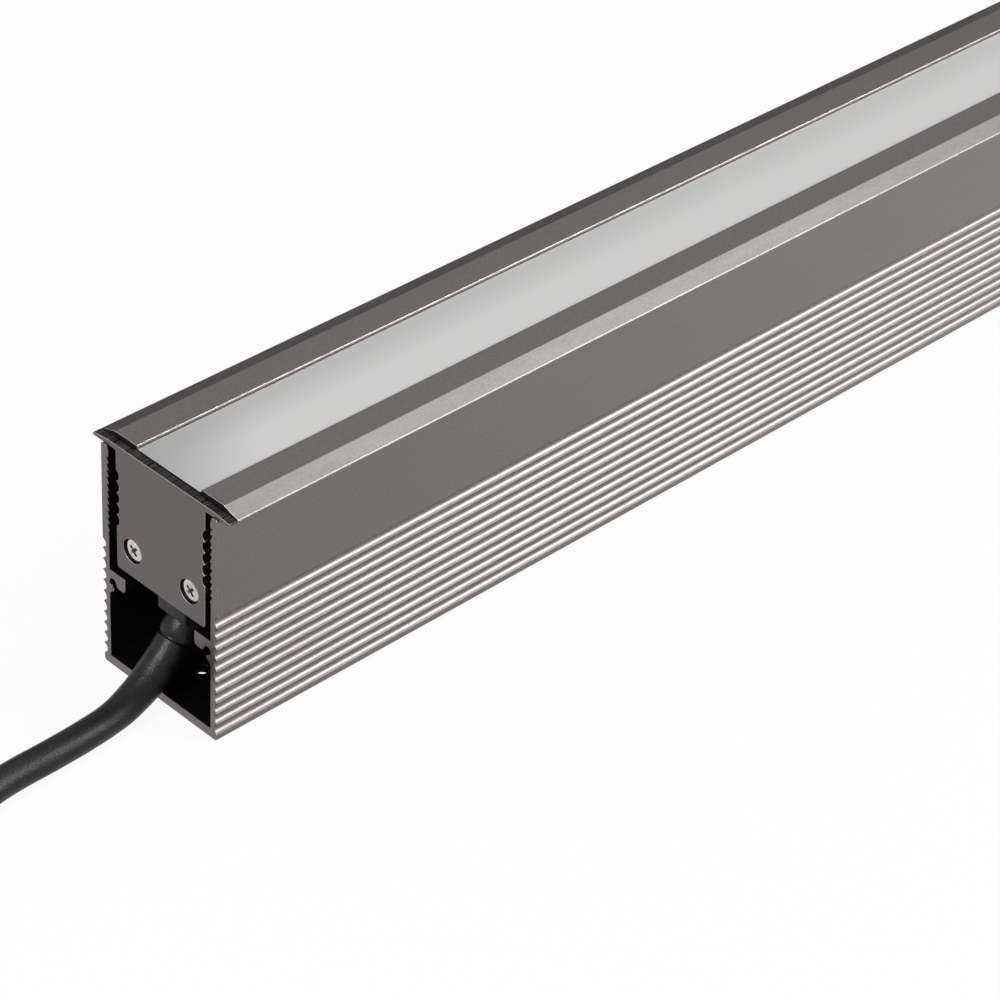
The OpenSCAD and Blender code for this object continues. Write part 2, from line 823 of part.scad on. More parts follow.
function eased(s) = let (c = min(1, max(0, s))) c * c * (3 - 2 * c);
function half_swing(i) = let (a = swing_angle * i / swing_steps)
    [swing_radius * sin(a), swing_radius * (1 - cos(a))];
function swing_at(i) = i <= swing_steps ? half_swing(i)
    : [swing_back, swing_aside] - half_swing(2 * swing_steps - i);

route_line = [for (i = [0 : len(route) - 1]) [gland_end + route[i][0], route[i][1],
    cable_radius + (i < len(drop_shares) ? drop_shares[i] * ground_drop : 0)]];
route_end = route_line[len(route) - 1];
swing_line = [for (i = [1 : 2 * swing_steps]) let (aside = swing_at(i))
    route_end + [-aside[0], -aside[1], eased(i / 2 / swing_steps) * (tie_thickness + touch_gap)]];
cord_line = concat(route_line, swing_line, [swing_line[len(swing_line) - 1] - [swing_lead, 0, 0]]);
exit_point = cord_line[0];
exit_slope = atan2(exit_point[2] - cord_line[1][2], exit_point[0] - cord_line[1][0]);

// Coil: in on the lower layer, up in the half turn where it reverses, out on the upper layer
coil_spacing = 0.6;
coil_pitch = cable_diameter + coil_spacing;
coil_outer = 47;
coil_turns = 3.5;
reverse_turn = 2;
coil_lead = 8;
coil_start_angle = -90;
rings_per_turn = 24;
climb_turns = 0.5;
coil_first = cord_line[len(cord_line) - 1];
coil_centre = [coil_first[0] - coil_lead, coil_first[1] + coil_outer];

function coil_radius_at(t) = coil_outer - coil_pitch * (t < reverse_turn ? t : 2 * reverse_turn - t);
function coil_rise_at(t) = coil_pitch * eased((t - reverse_turn) / climb_turns + 1 / 2);
function coil_at(t) = let (a = coil_start_angle - 360 * t, r = coil_radius_at(t))
    [coil_centre[0] + r * cos(a), coil_centre[1] + r * sin(a), coil_first[2] + coil_rise_at(t)];
coil_steps = round(coil_turns * rings_per_turn);
coil_curve = [for (i = [0 : coil_steps]) coil_at(i / coil_steps * coil_turns)];
coil_heading = let (a = coil_start_angle - 360 * coil_turns) [sin(a), -cos(a), 0];
coil_end = coil_curve[coil_steps] + coil_lead * coil_heading;
coil_line = concat([coil_first], coil_curve, [coil_end]);

function span(line, i) = norm(line[i + 1] - line[i]);
function length_of(line, i = 0) = i >= len(line) - 1 ? 0 : span(line, i) + length_of(line, i + 1);
cord_length = length_of(cord_line) + length_of(coil_line);
// Least distance between points of the coil that lie more than half a turn apart, less its diameter
coil_gap = min([for (i = [0 : coil_steps], j = [i + rings_per_turn / 2 : 1 : coil_steps])
    norm(coil_curve[i] - coil_curve[j])]) - cable_diameter;
echo(cord_length = cord_length, coil_gap = coil_gap);

function heading(line, i) = let (a = line[max(0, i - 1)], b = line[min(len(line) - 1, i + 1)])
    (b - a) / norm(b - a);
function ring(centre, ahead, radius, sides) = let (
        across = cross(ahead, [0, 0, 1]) / norm(cross(ahead, [0, 0, 1])),
        up = cross(across, ahead))
    [for (k = [0 : sides - 1]) let (a = 360 * k / sides - 90)
        centre + radius * (cos(a) * across + sin(a) * up)];

// Unbroken tube along a line with a radius at each of its points, square at both ends, made of
// triangles from the first point given to the last
module tube(line, radii, sides, first, last) {
    points = [for (i = [first : last]) each ring(line[i], heading(line, i), radii[i], sides)];
    walls = [for (i = [0 : last - first - 1], k = [0 : sides - 1])
        let (a = i * sides + k, b = i * sides + (k + 1) % sides)
            each [[a, b, a + sides], [b, b + sides, a + sides]]];
    end = (last - first) * sides;
    first_cap = [for (k = [1 : sides - 2]) [0, k + 1, k]];
    last_cap = [for (k = [1 : sides - 2]) [end, end + k, end + k + 1]];
    polyhedron(points = points, faces = concat(walls, first_cap, last_cap), convexity = 10);
}

// The sleeve moulded on the cable narrows down to it over its last steps
sleeve_swell = 0.7;
sleeve_end = 13;
sleeve_steps = 9;
cord_sides = 12;
cord_radii = [for (i = [0 : len(cord_line) - 1])
    cable_radius + sleeve_swell * min(1, max(0, (sleeve_end - i) / sleeve_steps))];

module cable() {
    color(black_rubber) tube(cord_line, cord_radii, cord_sides, sleeve_end, len(cord_line) - 1);
}

module cable_coil() {
    sides = 6;
    color(black_rubber)
        tube(coil_line, [for (point = coil_line) cable_radius], sides, 0, len(coil_line) - 1);
}

// Bands round the coil, sized to the turns that pass through them
module coil_ties() {
    window = cable_radius + touch_gap;
    low = coil_first[2] - window;
    high = coil_first[2] + coil_pitch + window;
    color(black_rubber) for (angle = tie_angles) {
        first_turn = (coil_start_angle - angle) / 360;
        turns = [for (k = [0 : ceil(coil_turns) + 1])
            if (first_turn + k > 0 && first_turn + k < coil_turns) first_turn + k];
        radii = [for (t = turns) coil_radius_at(t)];
        inner = min(radii) - window;
        outer = max(radii) + window;
        translate([coil_centre[0], coil_centre[1], 0]) rotate([90, 0, angle])
            linear_extrude(height = tie_width, center = true) difference() {
                translate([inner - tie_thickness, low - tie_thickness])
                    square([outer - inner + 2 * tie_thickness, high - low + 2 * tie_thickness]);
                translate([inner, low]) square([outer - inner, high - low]);
            }
    }
}

// Stripped end: three cores that leave the sheath side by side, each in its ferrule
core_length = 18;
core_fan = 4;
core_turns = [60, -60, 180];
ferrule_length = 8;
ferrule_diameter = 3;

module at_core(turn) {
    translate(coil_end) rotate([0, 0, atan2(coil_heading[1], coil_heading[0])]) rotate([0, 90, 0])
        rotate([0, 0, turn]) translate([core_spread, 0, fit]) rotate([0, core_fan, 0]) children();
}

module core(turn) {
    at_core(turn) cylinder(h = core_length, d = core_diameter);
}

module core_brown() {
    color("saddlebrown") core(core_turns[0]);
}

module core_blue() {
    color("royalblue") core(core_turns[1]);
}

module core_earth() {
    color("yellowgreen") core(core_turns[2]);
}

module core_ferrules() {
    color(bright_steel) for (turn = core_turns) at_core(turn)
        translate([0, 0, core_length])
            cylinder(h = ferrule_length, d1 = ferrule_diameter, d2 = core_diameter / 2);
}

// Cable outlet under the housing: an elbow whose slanted face is square to the cable. The strain
// relief is a collar against that face, a root inside the elbow and a neck that the sleeve ends on
collar_step = 0.1;
collar_radius = cable_radius + sleeve_swell - collar_step;
collar_taper = 0.5;
root_radius = cable_radius;
ring_width = 0.5;
ring_depth = 0.45;
collar_embed = 4.5;
// Along the slanted face: from its upper edge to the collar's axis, and along the axis to the groove
face_reach = (exit_point[0] - gland_end) * sin(exit_slope) + (face_low - exit_point[2]) * cos(exit_slope);
axis_reach = (face_low - exit_point[2]) * sin(exit_slope) - (exit_point[0] - gland_end) * cos(exit_slope);
collar_end = axis_reach - fit / 2;
gland_back = gland_end + gland_length;

module at_exit() {
    translate(exit_point) rotate([0, 90 - exit_slope, 0]) children();
}

module collar_root(grow) {
    at_exit() translate([0, 0, collar_end]) cylinder(h = collar_embed + grow, r = root_radius + grow);
}

module strain_relief() {
    color(black_rubber) {
        collar_root(0);
        at_exit() translate([0, 0, ring_width]) cylinder(h = collar_end - ring_width,
            r1 = collar_radius, r2 = collar_radius + collar_taper);
        at_exit() cylinder(h = 2 * ring_width, r = collar_radius - ring_depth);
    }
}

module cable_sleeve() {
    color(black_rubber) tube(cord_line, cord_radii, cord_sides, 0, sleeve_end);
}

module cable_gland() {
    heel = [gland_end + 2 * face_reach * sin(exit_slope), face_low - 2 * face_reach * cos(exit_slope)];
    heel_rise = 2.5;
    plan_radius = 0.6;
    color(black_rubber) difference() {
        intersection() {
            rotate([90, 0, 0]) linear_extrude(height = gland_width, center = true)
                polygon([[gland_end, gland_top], [gland_end, face_low], heel,
                    [gland_back, heel[1] + heel_rise], [gland_back, gland_top]]);
            linear_extrude(height = gland_top) {
                translate([gland_end + plan_radius, -gland_width / 2])
                    square([gland_length - 2 * plan_radius, gland_width]);
                translate([gland_end, plan_radius - gland_width / 2])
                    square([gland_length, gland_width - 2 * plan_radius]);
                for (x = [gland_end + plan_radius, gland_back - plan_radius], side = [-1, 1])
                    translate([x, side * (gland_width / 2 - plan_radius)]) circle(r = plan_radius);
            }
        }
        collar_root(fit / 2);
        translate([nipple_x, 0, core_start])
            cylinder(h = nipple_embed + overrun, d = nipple_diameter + 2 * thread_fit);
    }
}

module gland_seal() {
    seal_size = [gland_length - 2 * touch_gap, gland_width - 2 * touch_gap, gland_seal_thickness];
    color("dimgray") difference() {
        translate([gland_end + gland_length / 2, 0, gland_top + gland_seal_thickness / 2])
            cube(seal_size, center = true);
        translate([nipple_x, 0, gland_top - overrun])
            cylinder(h = gland_seal_thickness + 2 * overrun, d = nipple_hole);
    }
}

module gland_nipple() {
    nipple_wall = 1.2;
    color(brass) translate([nipple_x, 0, core_start]) difference() {
        cylinder(h = nipple_top - core_start, d = nipple_diameter);
        translate([0, 0, -overrun])
            cylinder(h = nipple_top - core_start + 2 * overrun, d = nipple_diameter - 2 * nipple_wall);
    }
}

module gland_nut() {
    nut_height = 3;
    // Distance across the flats as a share of the thread's diameter
    flats_share = 1.4;
    color(brass) translate([nipple_x, 0, chamber_floor]) difference() {
        rotate(30) cylinder(h = nut_height, d = flats_share * nipple_diameter / cos(30), $fn = 6);
        translate([0, 0, -overrun])
            cylinder(h = nut_height + 2 * overrun, d = nipple_diameter + 2 * thread_fit, $fn = 48);
    }
}

channel();
housing();
diffuser();
diffuser_seals();
reflectors();
led_boards();
led_chips();
thermal_pads();
board_screws();
board_connector();
lead_grommet();
led_leads();
driver_insulator();
driver_board();
driver_transformer();
driver_capacitors();
driver_inductor();
driver_chips();
driver_terminals();
supply_leads();
earth_lug();
earth_screw();
end_cap_cable_end();
end_cap_far_end();
end_gasket_cable_end();
end_gasket_far_end();
end_screws_cable_end();
end_screws_far_end();
retaining_springs();
cable_gland();
strain_relief();
cable_sleeve();
gland_seal();
gland_nipple();
gland_nut();
cable();
cable_coil();
coil_ties();
core_brown();
core_blue();
core_earth();
core_ferrules();
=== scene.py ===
"""Dresses an outdoor wall washer light: its cable, outlet, cap screws, finishes and stage."""

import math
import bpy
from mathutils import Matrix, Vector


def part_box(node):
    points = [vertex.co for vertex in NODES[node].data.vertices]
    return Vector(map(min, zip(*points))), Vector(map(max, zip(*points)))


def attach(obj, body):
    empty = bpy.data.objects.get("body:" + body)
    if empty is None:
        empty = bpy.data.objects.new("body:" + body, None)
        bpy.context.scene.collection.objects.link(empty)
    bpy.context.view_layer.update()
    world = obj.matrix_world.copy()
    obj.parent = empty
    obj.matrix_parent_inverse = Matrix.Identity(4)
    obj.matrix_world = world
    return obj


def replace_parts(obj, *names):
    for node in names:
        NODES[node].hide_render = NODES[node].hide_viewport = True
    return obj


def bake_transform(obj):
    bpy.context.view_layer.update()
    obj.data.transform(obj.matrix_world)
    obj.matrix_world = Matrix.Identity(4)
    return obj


bl_info = {
    "name": "Wall Washer Light",
    "version": (1, 0, 0),
    "blender": (4, 5, 0),
    "location": "View3D > Sidebar > Wall Washer",
    "description": "Builds the cable, outlet, screws, finishes and stage of an outdoor wall washer light",
    "category": "Add Mesh",
}

import bpy
from mathutils import Matrix, Vector

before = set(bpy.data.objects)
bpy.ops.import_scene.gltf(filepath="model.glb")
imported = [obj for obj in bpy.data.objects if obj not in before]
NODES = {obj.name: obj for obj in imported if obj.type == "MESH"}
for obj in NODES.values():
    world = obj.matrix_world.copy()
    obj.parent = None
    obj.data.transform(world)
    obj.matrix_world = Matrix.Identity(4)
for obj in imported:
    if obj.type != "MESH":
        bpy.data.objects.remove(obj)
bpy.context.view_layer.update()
MM = 0.001
CHANNEL_LOW, CHANNEL_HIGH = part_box("channel")
END_X = CHANNEL_LOW.x
CAP_FACE_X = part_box("end_cap_cable_end")[0].x
CAP_FAR_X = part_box("end_cap_far_end")[1].x
HOUSING_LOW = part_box("housing")[0]
# Sockets of the Mix node that carry colours
COLOUR_A, COLOUR_B, COLOUR_RESULT = 6, 7, 2


# Sizes and colours that a user would change


def amount(name, description, default, **values):
    return bpy.props.FloatProperty(name=name, description=description, default=default, **values)


def length(name, description, default):
    return amount(name, description, default, unit="LENGTH", precision=5)


def angle(name, description, degrees):
    return amount(name, description, math.radians(degrees), subtype="ANGLE")


def colour(name, description, default):
    return bpy.props.FloatVectorProperty(
        name=name, description=description, default=default, size=3, subtype="COLOR", min=0, max=1
    )


def share(name, description, default):
    return amount(name, description, default, min=0, max=1, subtype="FACTOR")


class CableSettings(bpy.types.PropertyGroup):
    """Cable, its coil and what ties it"""

    diameter: length("Diameter", "Outer diameter of the cable", 7.6 * MM)
    coil_outer: length("Coil radius", "Radius of the coil's outer turn", 47 * MM)
    coil_spacing: length("Turn spacing", "Gap between neighbouring turns", 0.6 * MM)
    coil_lead: length("Coil lead", "Straight stretch before and after the coil", 8 * MM)
    swing_back: length("Swing back", "How far the double bend runs back to the coil", 83 * MM)
    swing_aside: length("Swing aside", "How far the double bend runs aside to the coil", 36.3 * MM)
    swing_lead: length("Swing lead", "Straight stretch after the double bend", 4 * MM)
    turns: amount("Turns", "Turns in the coil", 3.5)
    reverse_turn: amount("Reversal", "Turns before the coil climbs to its upper layer", 2)
    tie_thickness: length("Band thickness", "Thickness of a coil band", 0.8 * MM)
    tie_width: length("Band width", "Width of a coil band", 6 * MM)
    band_gap: length("Band gap", "Clearance between the turns and their band", 0.2 * MM)
    swell: length("Sleeve swell", "How much the sleeve's radius exceeds the cable's", 0.7 * MM)
    sheath: colour("Sheath", "Colour of the rubber sheath", (0.005, 0.005, 0.0052))


class OutletSettings(bpy.types.PropertyGroup):
    """Moulded outlet and its strain relief"""

    width: length("Width", "Width of the moulded outlet", 10 * MM)
    length: length("Length", "Length of the outlet along the light", 13 * MM)
    setback: length("Setback", "From the end of the channel to the outlet's face", 3.5 * MM)
    face: length("Face height", "Height of the outlet's upright face", 6.392 * MM)
    drop: length("Drop", "From the low edge of that face to the strain relief's groove", 7.3984 * MM)
    seal: length("Seal thickness", "Thickness of the seal above the outlet", 0.8 * MM)
    ring: length("Groove width", "Width of the groove between collar and sleeve", 0.5 * MM)
    ring_depth: length("Groove depth", "Depth of the groove between collar and sleeve", 0.45 * MM)
    step: length("Collar step", "How much the collar is thinner than the sleeve", 0.1 * MM)
    taper: length("Collar taper", "How much the collar widens towards the outlet", 0.5 * MM)
    moulding: colour("Moulding", "Colour of the moulded outlet", (0.014, 0.014, 0.0145))


class ScrewSettings(bpy.types.PropertyGroup):
    """Countersunk screws of the end caps"""

    spread: length("Spread", "Distance between the two screws of a cap", 20.2 * MM)
    rise: length("Rise", "Height of the screws above the luminaire's underside", 7.4 * MM)
    head: length("Head", "Diameter of a screw head", 5.7 * MM)
    thread: length("Thread", "Diameter of the thread", 3 * MM)
    shank: length("Length", "Length of a screw under the top of its head", 14 * MM)
    recess: length("Recess", "How far a head sits below the cap's face", 0.5 * MM)
    dome: length("Dome", "Height of the head's crown", 0.22 * MM)
    nickel: colour("Nickel", "Colour of the plating", (0.84, 0.82, 0.78))


class FinishSettings(bpy.types.PropertyGroup):
    """Finishes of the extrusions and the diffuser"""

    anodised: colour("Anodised", "Colour of the anodised aluminium", (0.193, 0.178, 0.174))
    anodised_rough: share("Anodised roughness", "Roughness of the anodised aluminium", 0.33)
    opal: colour("Opal", "Colour of the frosted diffuser", (0.59, 0.59, 0.583))
    edge: length("Edge radius", "Radius that the finish rounds sharp edges to", 0.22 * MM)


class StageSettings(bpy.types.PropertyGroup):
    """Camera, floor and light"""

    eye: bpy.props.FloatVectorProperty(
        name="Camera place", description="Where the camera stands", size=3,
        default=(-0.66845, -0.50405, 0.53461), unit="LENGTH", precision=5,
    )
    azimuth: angle("Azimuth", "Direction of the camera round the light", -46.486)
    elevation: angle("Elevation", "Height of the camera above the horizon", 35.865)
    roll: angle("Roll", "Turn of the camera about its own axis", 3.511)
    lens: amount("Lens", "Focal length on a 36 mm sensor", 127.73, unit="CAMERA")
    floor_size: length("Floor size", "Side of the square floor", 8.0)
    key_power: amount("Key light", "Power of the tall front softbox", 20.5, unit="POWER")
    top_power: amount("Top light", "Power of the overhead softbox", 4.3, unit="POWER")
    side_power: amount("Side light", "Power of the small softbox at the cable end", 14, unit="POWER")
    ambient: share("Ambient", "Strength of the light from all round", 0.2)
    mirrored_sky: share("Mirrored surroundings", "Share of the white surroundings that shows in metal", 0.66)
    floor_glow: share("Floor glow", "How much of the floor's white is its own glow", 0.92)
    near_glow: share("Near glow", "Floor glow that shows in metal beside the cable end", 0.74)


# Mesh helpers: each works on objects as a person would, with Blender's own tools


def clear():
    """Leaves edit mode and selects nothing."""
    if bpy.context.mode != "OBJECT":
        bpy.ops.object.mode_set(mode="OBJECT")
    bpy.ops.object.select_all(action="DESELECT")


def alone(obj):
    """Selects one object and nothing else."""
    clear()
    obj.select_set(True)
    bpy.context.view_layer.objects.active = obj
    return obj


def added(name):
    """Names the active object and its mesh and selects it alone."""
    obj = bpy.context.active_object
    obj.name = obj.data.name = name
    return alone(obj)


def whole_in_edit(obj):
    """Enters edit mode with the whole mesh selected."""
    alone(obj)
    bpy.ops.object.mode_set(mode="EDIT")
    bpy.ops.mesh.select_all(action="SELECT")


def picked_in_edit(obj, kind, wanted):
    """Enters edit mode with the faces or edges selected whose normal or run is wanted."""
    alone(obj)
    bpy.ops.object.mode_set(mode="EDIT")
    bpy.ops.mesh.select_mode(type=kind)
    bpy.ops.mesh.select_all(action="DESELECT")
    bpy.ops.object.mode_set(mode="OBJECT")
    mesh = obj.data
    if kind == "FACE":
        for face in mesh.polygons:
            face.select = wanted(face.normal)
    else:
        for edge in mesh.edges:
            start, end = (mesh.vertices[number].co for number in edge.vertices)
            edge.select = wanted(end - start)
    bpy.ops.object.mode_set(mode="EDIT")


def settle(obj, matrix=None):
    """Puts the object's place into its mesh."""
    alone(obj)
    if matrix is not None:
        obj.matrix_world = matrix @ obj.matrix_world
    bpy.ops.object.transform_apply(location=True, rotation=True, scale=True)
    return obj


def modify(obj, kind, **values):
    """Adds a modifier with these values and applies it."""
    alone(obj)
    bpy.ops.object.modifier_add(type=kind)
    modifier = obj.modifiers[-1]
    for key, value in values.items():
        setattr(modifier, key, value)
    bpy.ops.object.modifier_apply(modifier=modifier.name)
    return obj


def tidy_mesh(obj, angle_degrees=35):
    """Merges doubles, turns the faces outwards and shades round parts smooth."""
    whole_in_edit(obj)
    bpy.ops.mesh.remove_doubles(threshold=1e-6)
    bpy.ops.mesh.normals_make_consistent(inside=False)
    bpy.ops.object.mode_set(mode="OBJECT")
    bpy.ops.object.shade_smooth_by_angle(angle=math.radians(angle_degrees))
    return obj


def turned(name, profile, segments=48):
    """Turned piece: a disc drawn up through the (radius, height) pairs of its profile."""
    clear()
    radius, height = profile[0]
    bpy.ops.mesh.primitive_circle_add(
        vertices=segments, radius=radius, fill_type="NGON", location=(0, 0, height)
    )
    obj = settle(added(name))
    whole_in_edit(obj)
    for next_radius, next_height in profile[1:]:
        bpy.ops.mesh.extrude_region_move(
            TRANSFORM_OT_translate={"value": (0, 0, next_height - height)}
        )
        grow = next_radius / radius
        bpy.ops.transform.resize(value=(grow, grow, 1), center_override=(0, 0, next_height))
        radius, height = next_radius, next_height
    bpy.ops.object.mode_set(mode="OBJECT")
    return tidy_mesh(obj)


def block(name, low, high):
    """Cube primitive with these corners."""
    clear()
    low, high = Vector(low), Vector(high)
    bpy.ops.mesh.primitive_cube_add(size=1, location=(low + high) / 2, scale=high - low)
    return settle(added(name))


def shaved(obj, point, normal):
    """Cuts off what lies on the normal's side of a plane and closes the cut."""
    whole_in_edit(obj)
    bpy.ops.mesh.bisect(plane_co=point, plane_no=normal, use_fill=True, clear_outer=True)
    bpy.ops.object.mode_set(mode="OBJECT")
    return obj


def carved(obj, tool):
    """Cuts the tool's shape out of the object and removes the tool."""
    modify(obj, "BOOLEAN", object=tool, operation="DIFFERENCE", solver="MANIFOLD")
    mesh = tool.data
    bpy.data.objects.remove(tool)
    bpy.data.meshes.remove(mesh)
    return obj


def twin(obj, name, matrix):
    """Copy with a mesh of its own, placed by a matrix."""
    copy = obj.copy()
    copy.data = obj.data.copy()
    copy.name = copy.data.name = name
    bpy.context.scene.collection.objects.link(copy)
    return settle(copy, matrix)


def joined(name, pieces):
    """One object made of these pieces."""
    alone(pieces[0])
    for piece in pieces[1:]:
        piece.select_set(True)
    bpy.ops.object.join()
    return added(name)


def finish_with(obj, material):
    """Gives the object this one material."""
    obj.data.materials.clear()
    obj.data.materials.append(material)
    return obj


# Node helpers


class Wiring:
    """Node tree of a material or a world under construction."""

    def __init__(self, owner):
        owner.use_nodes = True
        self.owner = owner
        self.tree = owner.node_tree
        self.tree.nodes.clear()

    def feed(self, node, inputs):
        """Sets a node's inputs, by name or number, to values or links them to sockets."""
        for key, value in inputs.items():
            if isinstance(value, bpy.types.NodeSocket):
                self.tree.links.new(value, node.inputs[key])
            elif value is not None:
                node.inputs[key].default_value = value

    def add(self, kind, inputs=None, **values):
        """New node with these settings and inputs."""
        node = self.tree.nodes.new("ShaderNode" + kind)
        for key, value in values.items():
            setattr(node, key, value)
        self.feed(node, inputs or {})
        return node

    def maths(self, operation, first, second=None):
        return self.add("Math", {0: first, 1: second}, operation=operation).outputs[0]

    def times(self, first, second):
        return self.maths("MULTIPLY", first, second)

    def spread(self, value, low, high, to_low=0.0, to_high=1.0, smooth=False):
        """Value carried over from one range to another and held at its ends."""
        inputs = {"Value": value, "From Min": low, "From Max": high, "To Min": to_low, "To Max": to_high}
        shape = "SMOOTHSTEP" if smooth else "LINEAR"
        return self.add("MapRange", inputs, interpolation_type=shape).outputs["Result"]

    def axis(self, number):
        """One of the object's own coordinates."""
        place = self.add("TexCoord").outputs["Object"]
        return self.add("SeparateXYZ", {0: place}).outputs[number]

    def between(self, value, low, high):
        """1 where a value lies between two numbers."""
        return self.times(self.maths("GREATER_THAN", value, low), self.maths("LESS_THAN", value, high))


class Recipe(Wiring):
    """Finish under construction."""

    def __init__(self, name):
        super().__init__(bpy.data.materials.new(name))
        self.bsdf = self.add("BsdfPrincipled")
        self.add("OutputMaterial", {"Surface": self.bsdf.outputs[0]})
        self.place = self.add("TexCoord").outputs["Object"]

    def size_of(self, number):
        """Distance from the object's middle along one axis."""
        return self.maths("ABSOLUTE", self.axis(number))

    def facing(self, number):
        """How squarely the surface faces along one axis, either way."""
        normal = self.add("NewGeometry").outputs["Normal"]
        parts = self.add("SeparateXYZ", {0: normal})
        return self.maths("ABSOLUTE", parts.outputs[number])

    def noise(self, scale, stretch=(1, 1, 1), detail=3.0, rough=0.55, shift=(0, 0, 0)):
        """Noise on Object coordinates: scale in cells for each metre."""
        moved = self.add("Mapping", {"Vector": self.place, "Scale": stretch, "Location": shift})
        inputs = {"Vector": moved.outputs[0], "Scale": scale, "Detail": detail, "Roughness": rough}
        return self.add("TexNoise", inputs).outputs["Fac"]

    def mix(self, factor, first, second):
        """Colour between two: each is a colour or a socket."""
        first, second = (
            part if isinstance(part, bpy.types.NodeSocket) else (*part, 1) for part in (first, second)
        )
        inputs = {0: factor, COLOUR_A: first, COLOUR_B: second}
        return self.add("Mix", inputs, data_type="RGBA").outputs[COLOUR_RESULT]

    def grey(self, value):
        """Value as a grey colour."""
        return self.mix(value, (0, 0, 0), (1, 1, 1))

    def edges(self, radius):
        """Normal rounded at the edges, and how far it turns from the flat one."""
        rounded = self.add("Bevel", {"Radius": radius}, samples=4).outputs[0]
        flat = self.add("NewGeometry").outputs["Normal"]
        dot = self.add("VectorMath", {0: rounded, 1: flat}, operation="DOT_PRODUCT")
        return rounded, self.spread(dot.outputs["Value"], 1.0, 0.75)

    def bump(self, height, strength, distance, normal):
        """Normal bent by a relief."""
        inputs = {"Height": height, "Strength": strength, "Distance": distance, "Normal": normal}
        return self.add("Bump", inputs).outputs[0]

    def done(self, base, rough, normal, **constants):
        """Finished material: constants are the shader's other inputs, with underscores for spaces."""
        given = {key.replace("_", " "): value for key, value in constants.items()}
        self.feed(self.bsdf, {"Base Color": base, "Roughness": rough, "Normal": normal, **given})
        return self.owner


def shade(tone, factor):
    """Colour made darker or paler."""
    return tuple(min(1.0, channel * factor) for channel in tone)


def anodised(name, tone, rough, edge, grain=2000, wear_and_highlight=0.9, bright=3.5, inner=None, painted_slot_light=1.0):
    """Satin anodised aluminium: fine grain, faint drawing lines and paler edges, partly rubbed wear and
    partly painted highlight.

    inner is the half width and the two heights of a slot whose side faces get painted light: painted shade
    for a share below 1, painted highlight above 1.
    """
    r = Recipe(name)
    normal, edge_wear_and_highlight = r.edges(edge)
    clouds = r.noise(14, (0.35, 1, 1), detail=2)
    lines = r.noise(60, (0.02, 14, 14), detail=3)
    fine = r.noise(grain, detail=2, rough=0.7)
    base = r.mix(r.spread(clouds, 0.3, 0.7), shade(tone, 0.96), shade(tone, 1.04))
    base = r.mix(r.spread(lines, 0.35, 0.65, 0.0, 0.10), base, shade(tone, 0.80))
    base = r.mix(r.spread(fine, 0.35, 0.65, 0.0, 0.45), base, shade(tone, 1.45))
    # Paler edges: partly rubbed wear, partly a painted highlight
    rubbed_and_highlight = r.times(edge_wear_and_highlight, r.spread(r.noise(420, detail=4), 0.35, 0.62, 0.3 * wear_and_highlight, wear_and_highlight))
    base = r.mix(rubbed_and_highlight, base, shade(tone, bright))
    # Painted light on the slot's side faces: painted shade for a share below 1, painted highlight above 1
    if inner:
        half, low, high = inner
        painted_slot = r.times(r.maths("LESS_THAN", r.size_of(1), half), r.between(r.axis(2), low, high))
        painted_slot = r.times(painted_slot, r.maths("LESS_THAN", r.facing(0), 0.5))
        base = r.mix(painted_slot, base, shade(tone, painted_slot_light))
    roughness = r.spread(r.noise(260, (0.2, 1, 1)), 0.3, 0.7, rough - 0.03, rough + 0.03)
    height = r.maths("ADD", r.times(lines, 0.35), fine)
    return r.done(base, roughness, r.bump(height, 0.22, 0.00006, normal), Metallic=1.0)


def plain(name, tone, other, rough, metal=0.0, grain=500, depth=0.00004, strength=0.2, edge=0.15 * MM,
          wear_and_highlight=0.25, streak=(1, 1, 1), sunk_painted_shade=None, **constants):
    """General finish: two close tones, broken gloss, a fine relief and paler edges, partly rubbed wear and
    partly painted highlight.

    Nearer the middle of the light than the given depth, its colour is much darker, as painted shade in its
    recesses.
    """
    r = Recipe(name)
    normal, edge_wear_and_highlight = r.edges(edge)
    patches = r.noise(grain * 0.12, streak, detail=3)
    fine = r.noise(grain, streak, detail=4, shift=(0.3, 0.1, 0.2))
    base = r.mix(r.spread(patches, 0.35, 0.65), tone, other)
    base = r.mix(r.spread(fine, 0.4, 0.8, 0.0, 0.3), base, shade(tone, 0.8))
    rubbed_and_highlight = r.times(edge_wear_and_highlight, r.spread(fine, 0.35, 0.6, 0.1, 1.0))
    base = r.mix(r.times(rubbed_and_highlight, wear_and_highlight), base, shade(tone, 1.8 if metal else 1.5))
    # Painted shade on whatever lies deeper than the given depth, such as a screw's cross recess
    if sunk_painted_shade:
        base = r.mix(r.maths("LESS_THAN", r.size_of(0), sunk_painted_shade), base, shade(tone, 0.28))
    roughness = r.spread(fine, 0.3, 0.7, max(0.04, rough - 0.05), min(1, rough + 0.06))
    return r.done(base, roughness, r.bump(fine, strength, depth, normal), Metallic=metal, **constants)


# Cable


# Start of the cable in mm: along the light, aside, and height from 0 on the floor to 1 at the groove
ROUTE = (
    (1.1, 0, 1), (0.1, 0, 0.898), (-1.2, 0, 0.774), (-2.6, 0, 0.656), (-4.1, -0.1, 0.547),
    (-5.7, -0.15, 0.447), (-7.4, -0.25, 0.355), (-9.1, -0.4, 0.274), (-10.9, -0.55, 0.2025),
    (-12.8, -0.75, 0.142), (-14.7, -1, 0.0917), (-16.6, -1.2, 0.052), (-18.6, -1.4, 0.024),
    (-20.6, -1.6, 0.0074), (-22.6, -1.8, 0), (-26, -2.1, 0), (-30.5, -2.4, 0), (-36, -2.6, 0),
    (-41.5, -2.7, 0), (-47.5, -2.7, 0),
)
# Point where the sleeve ends, and number of points over which it thins towards there
SLEEVE_END = 13
SLEEVE_STEPS = 9
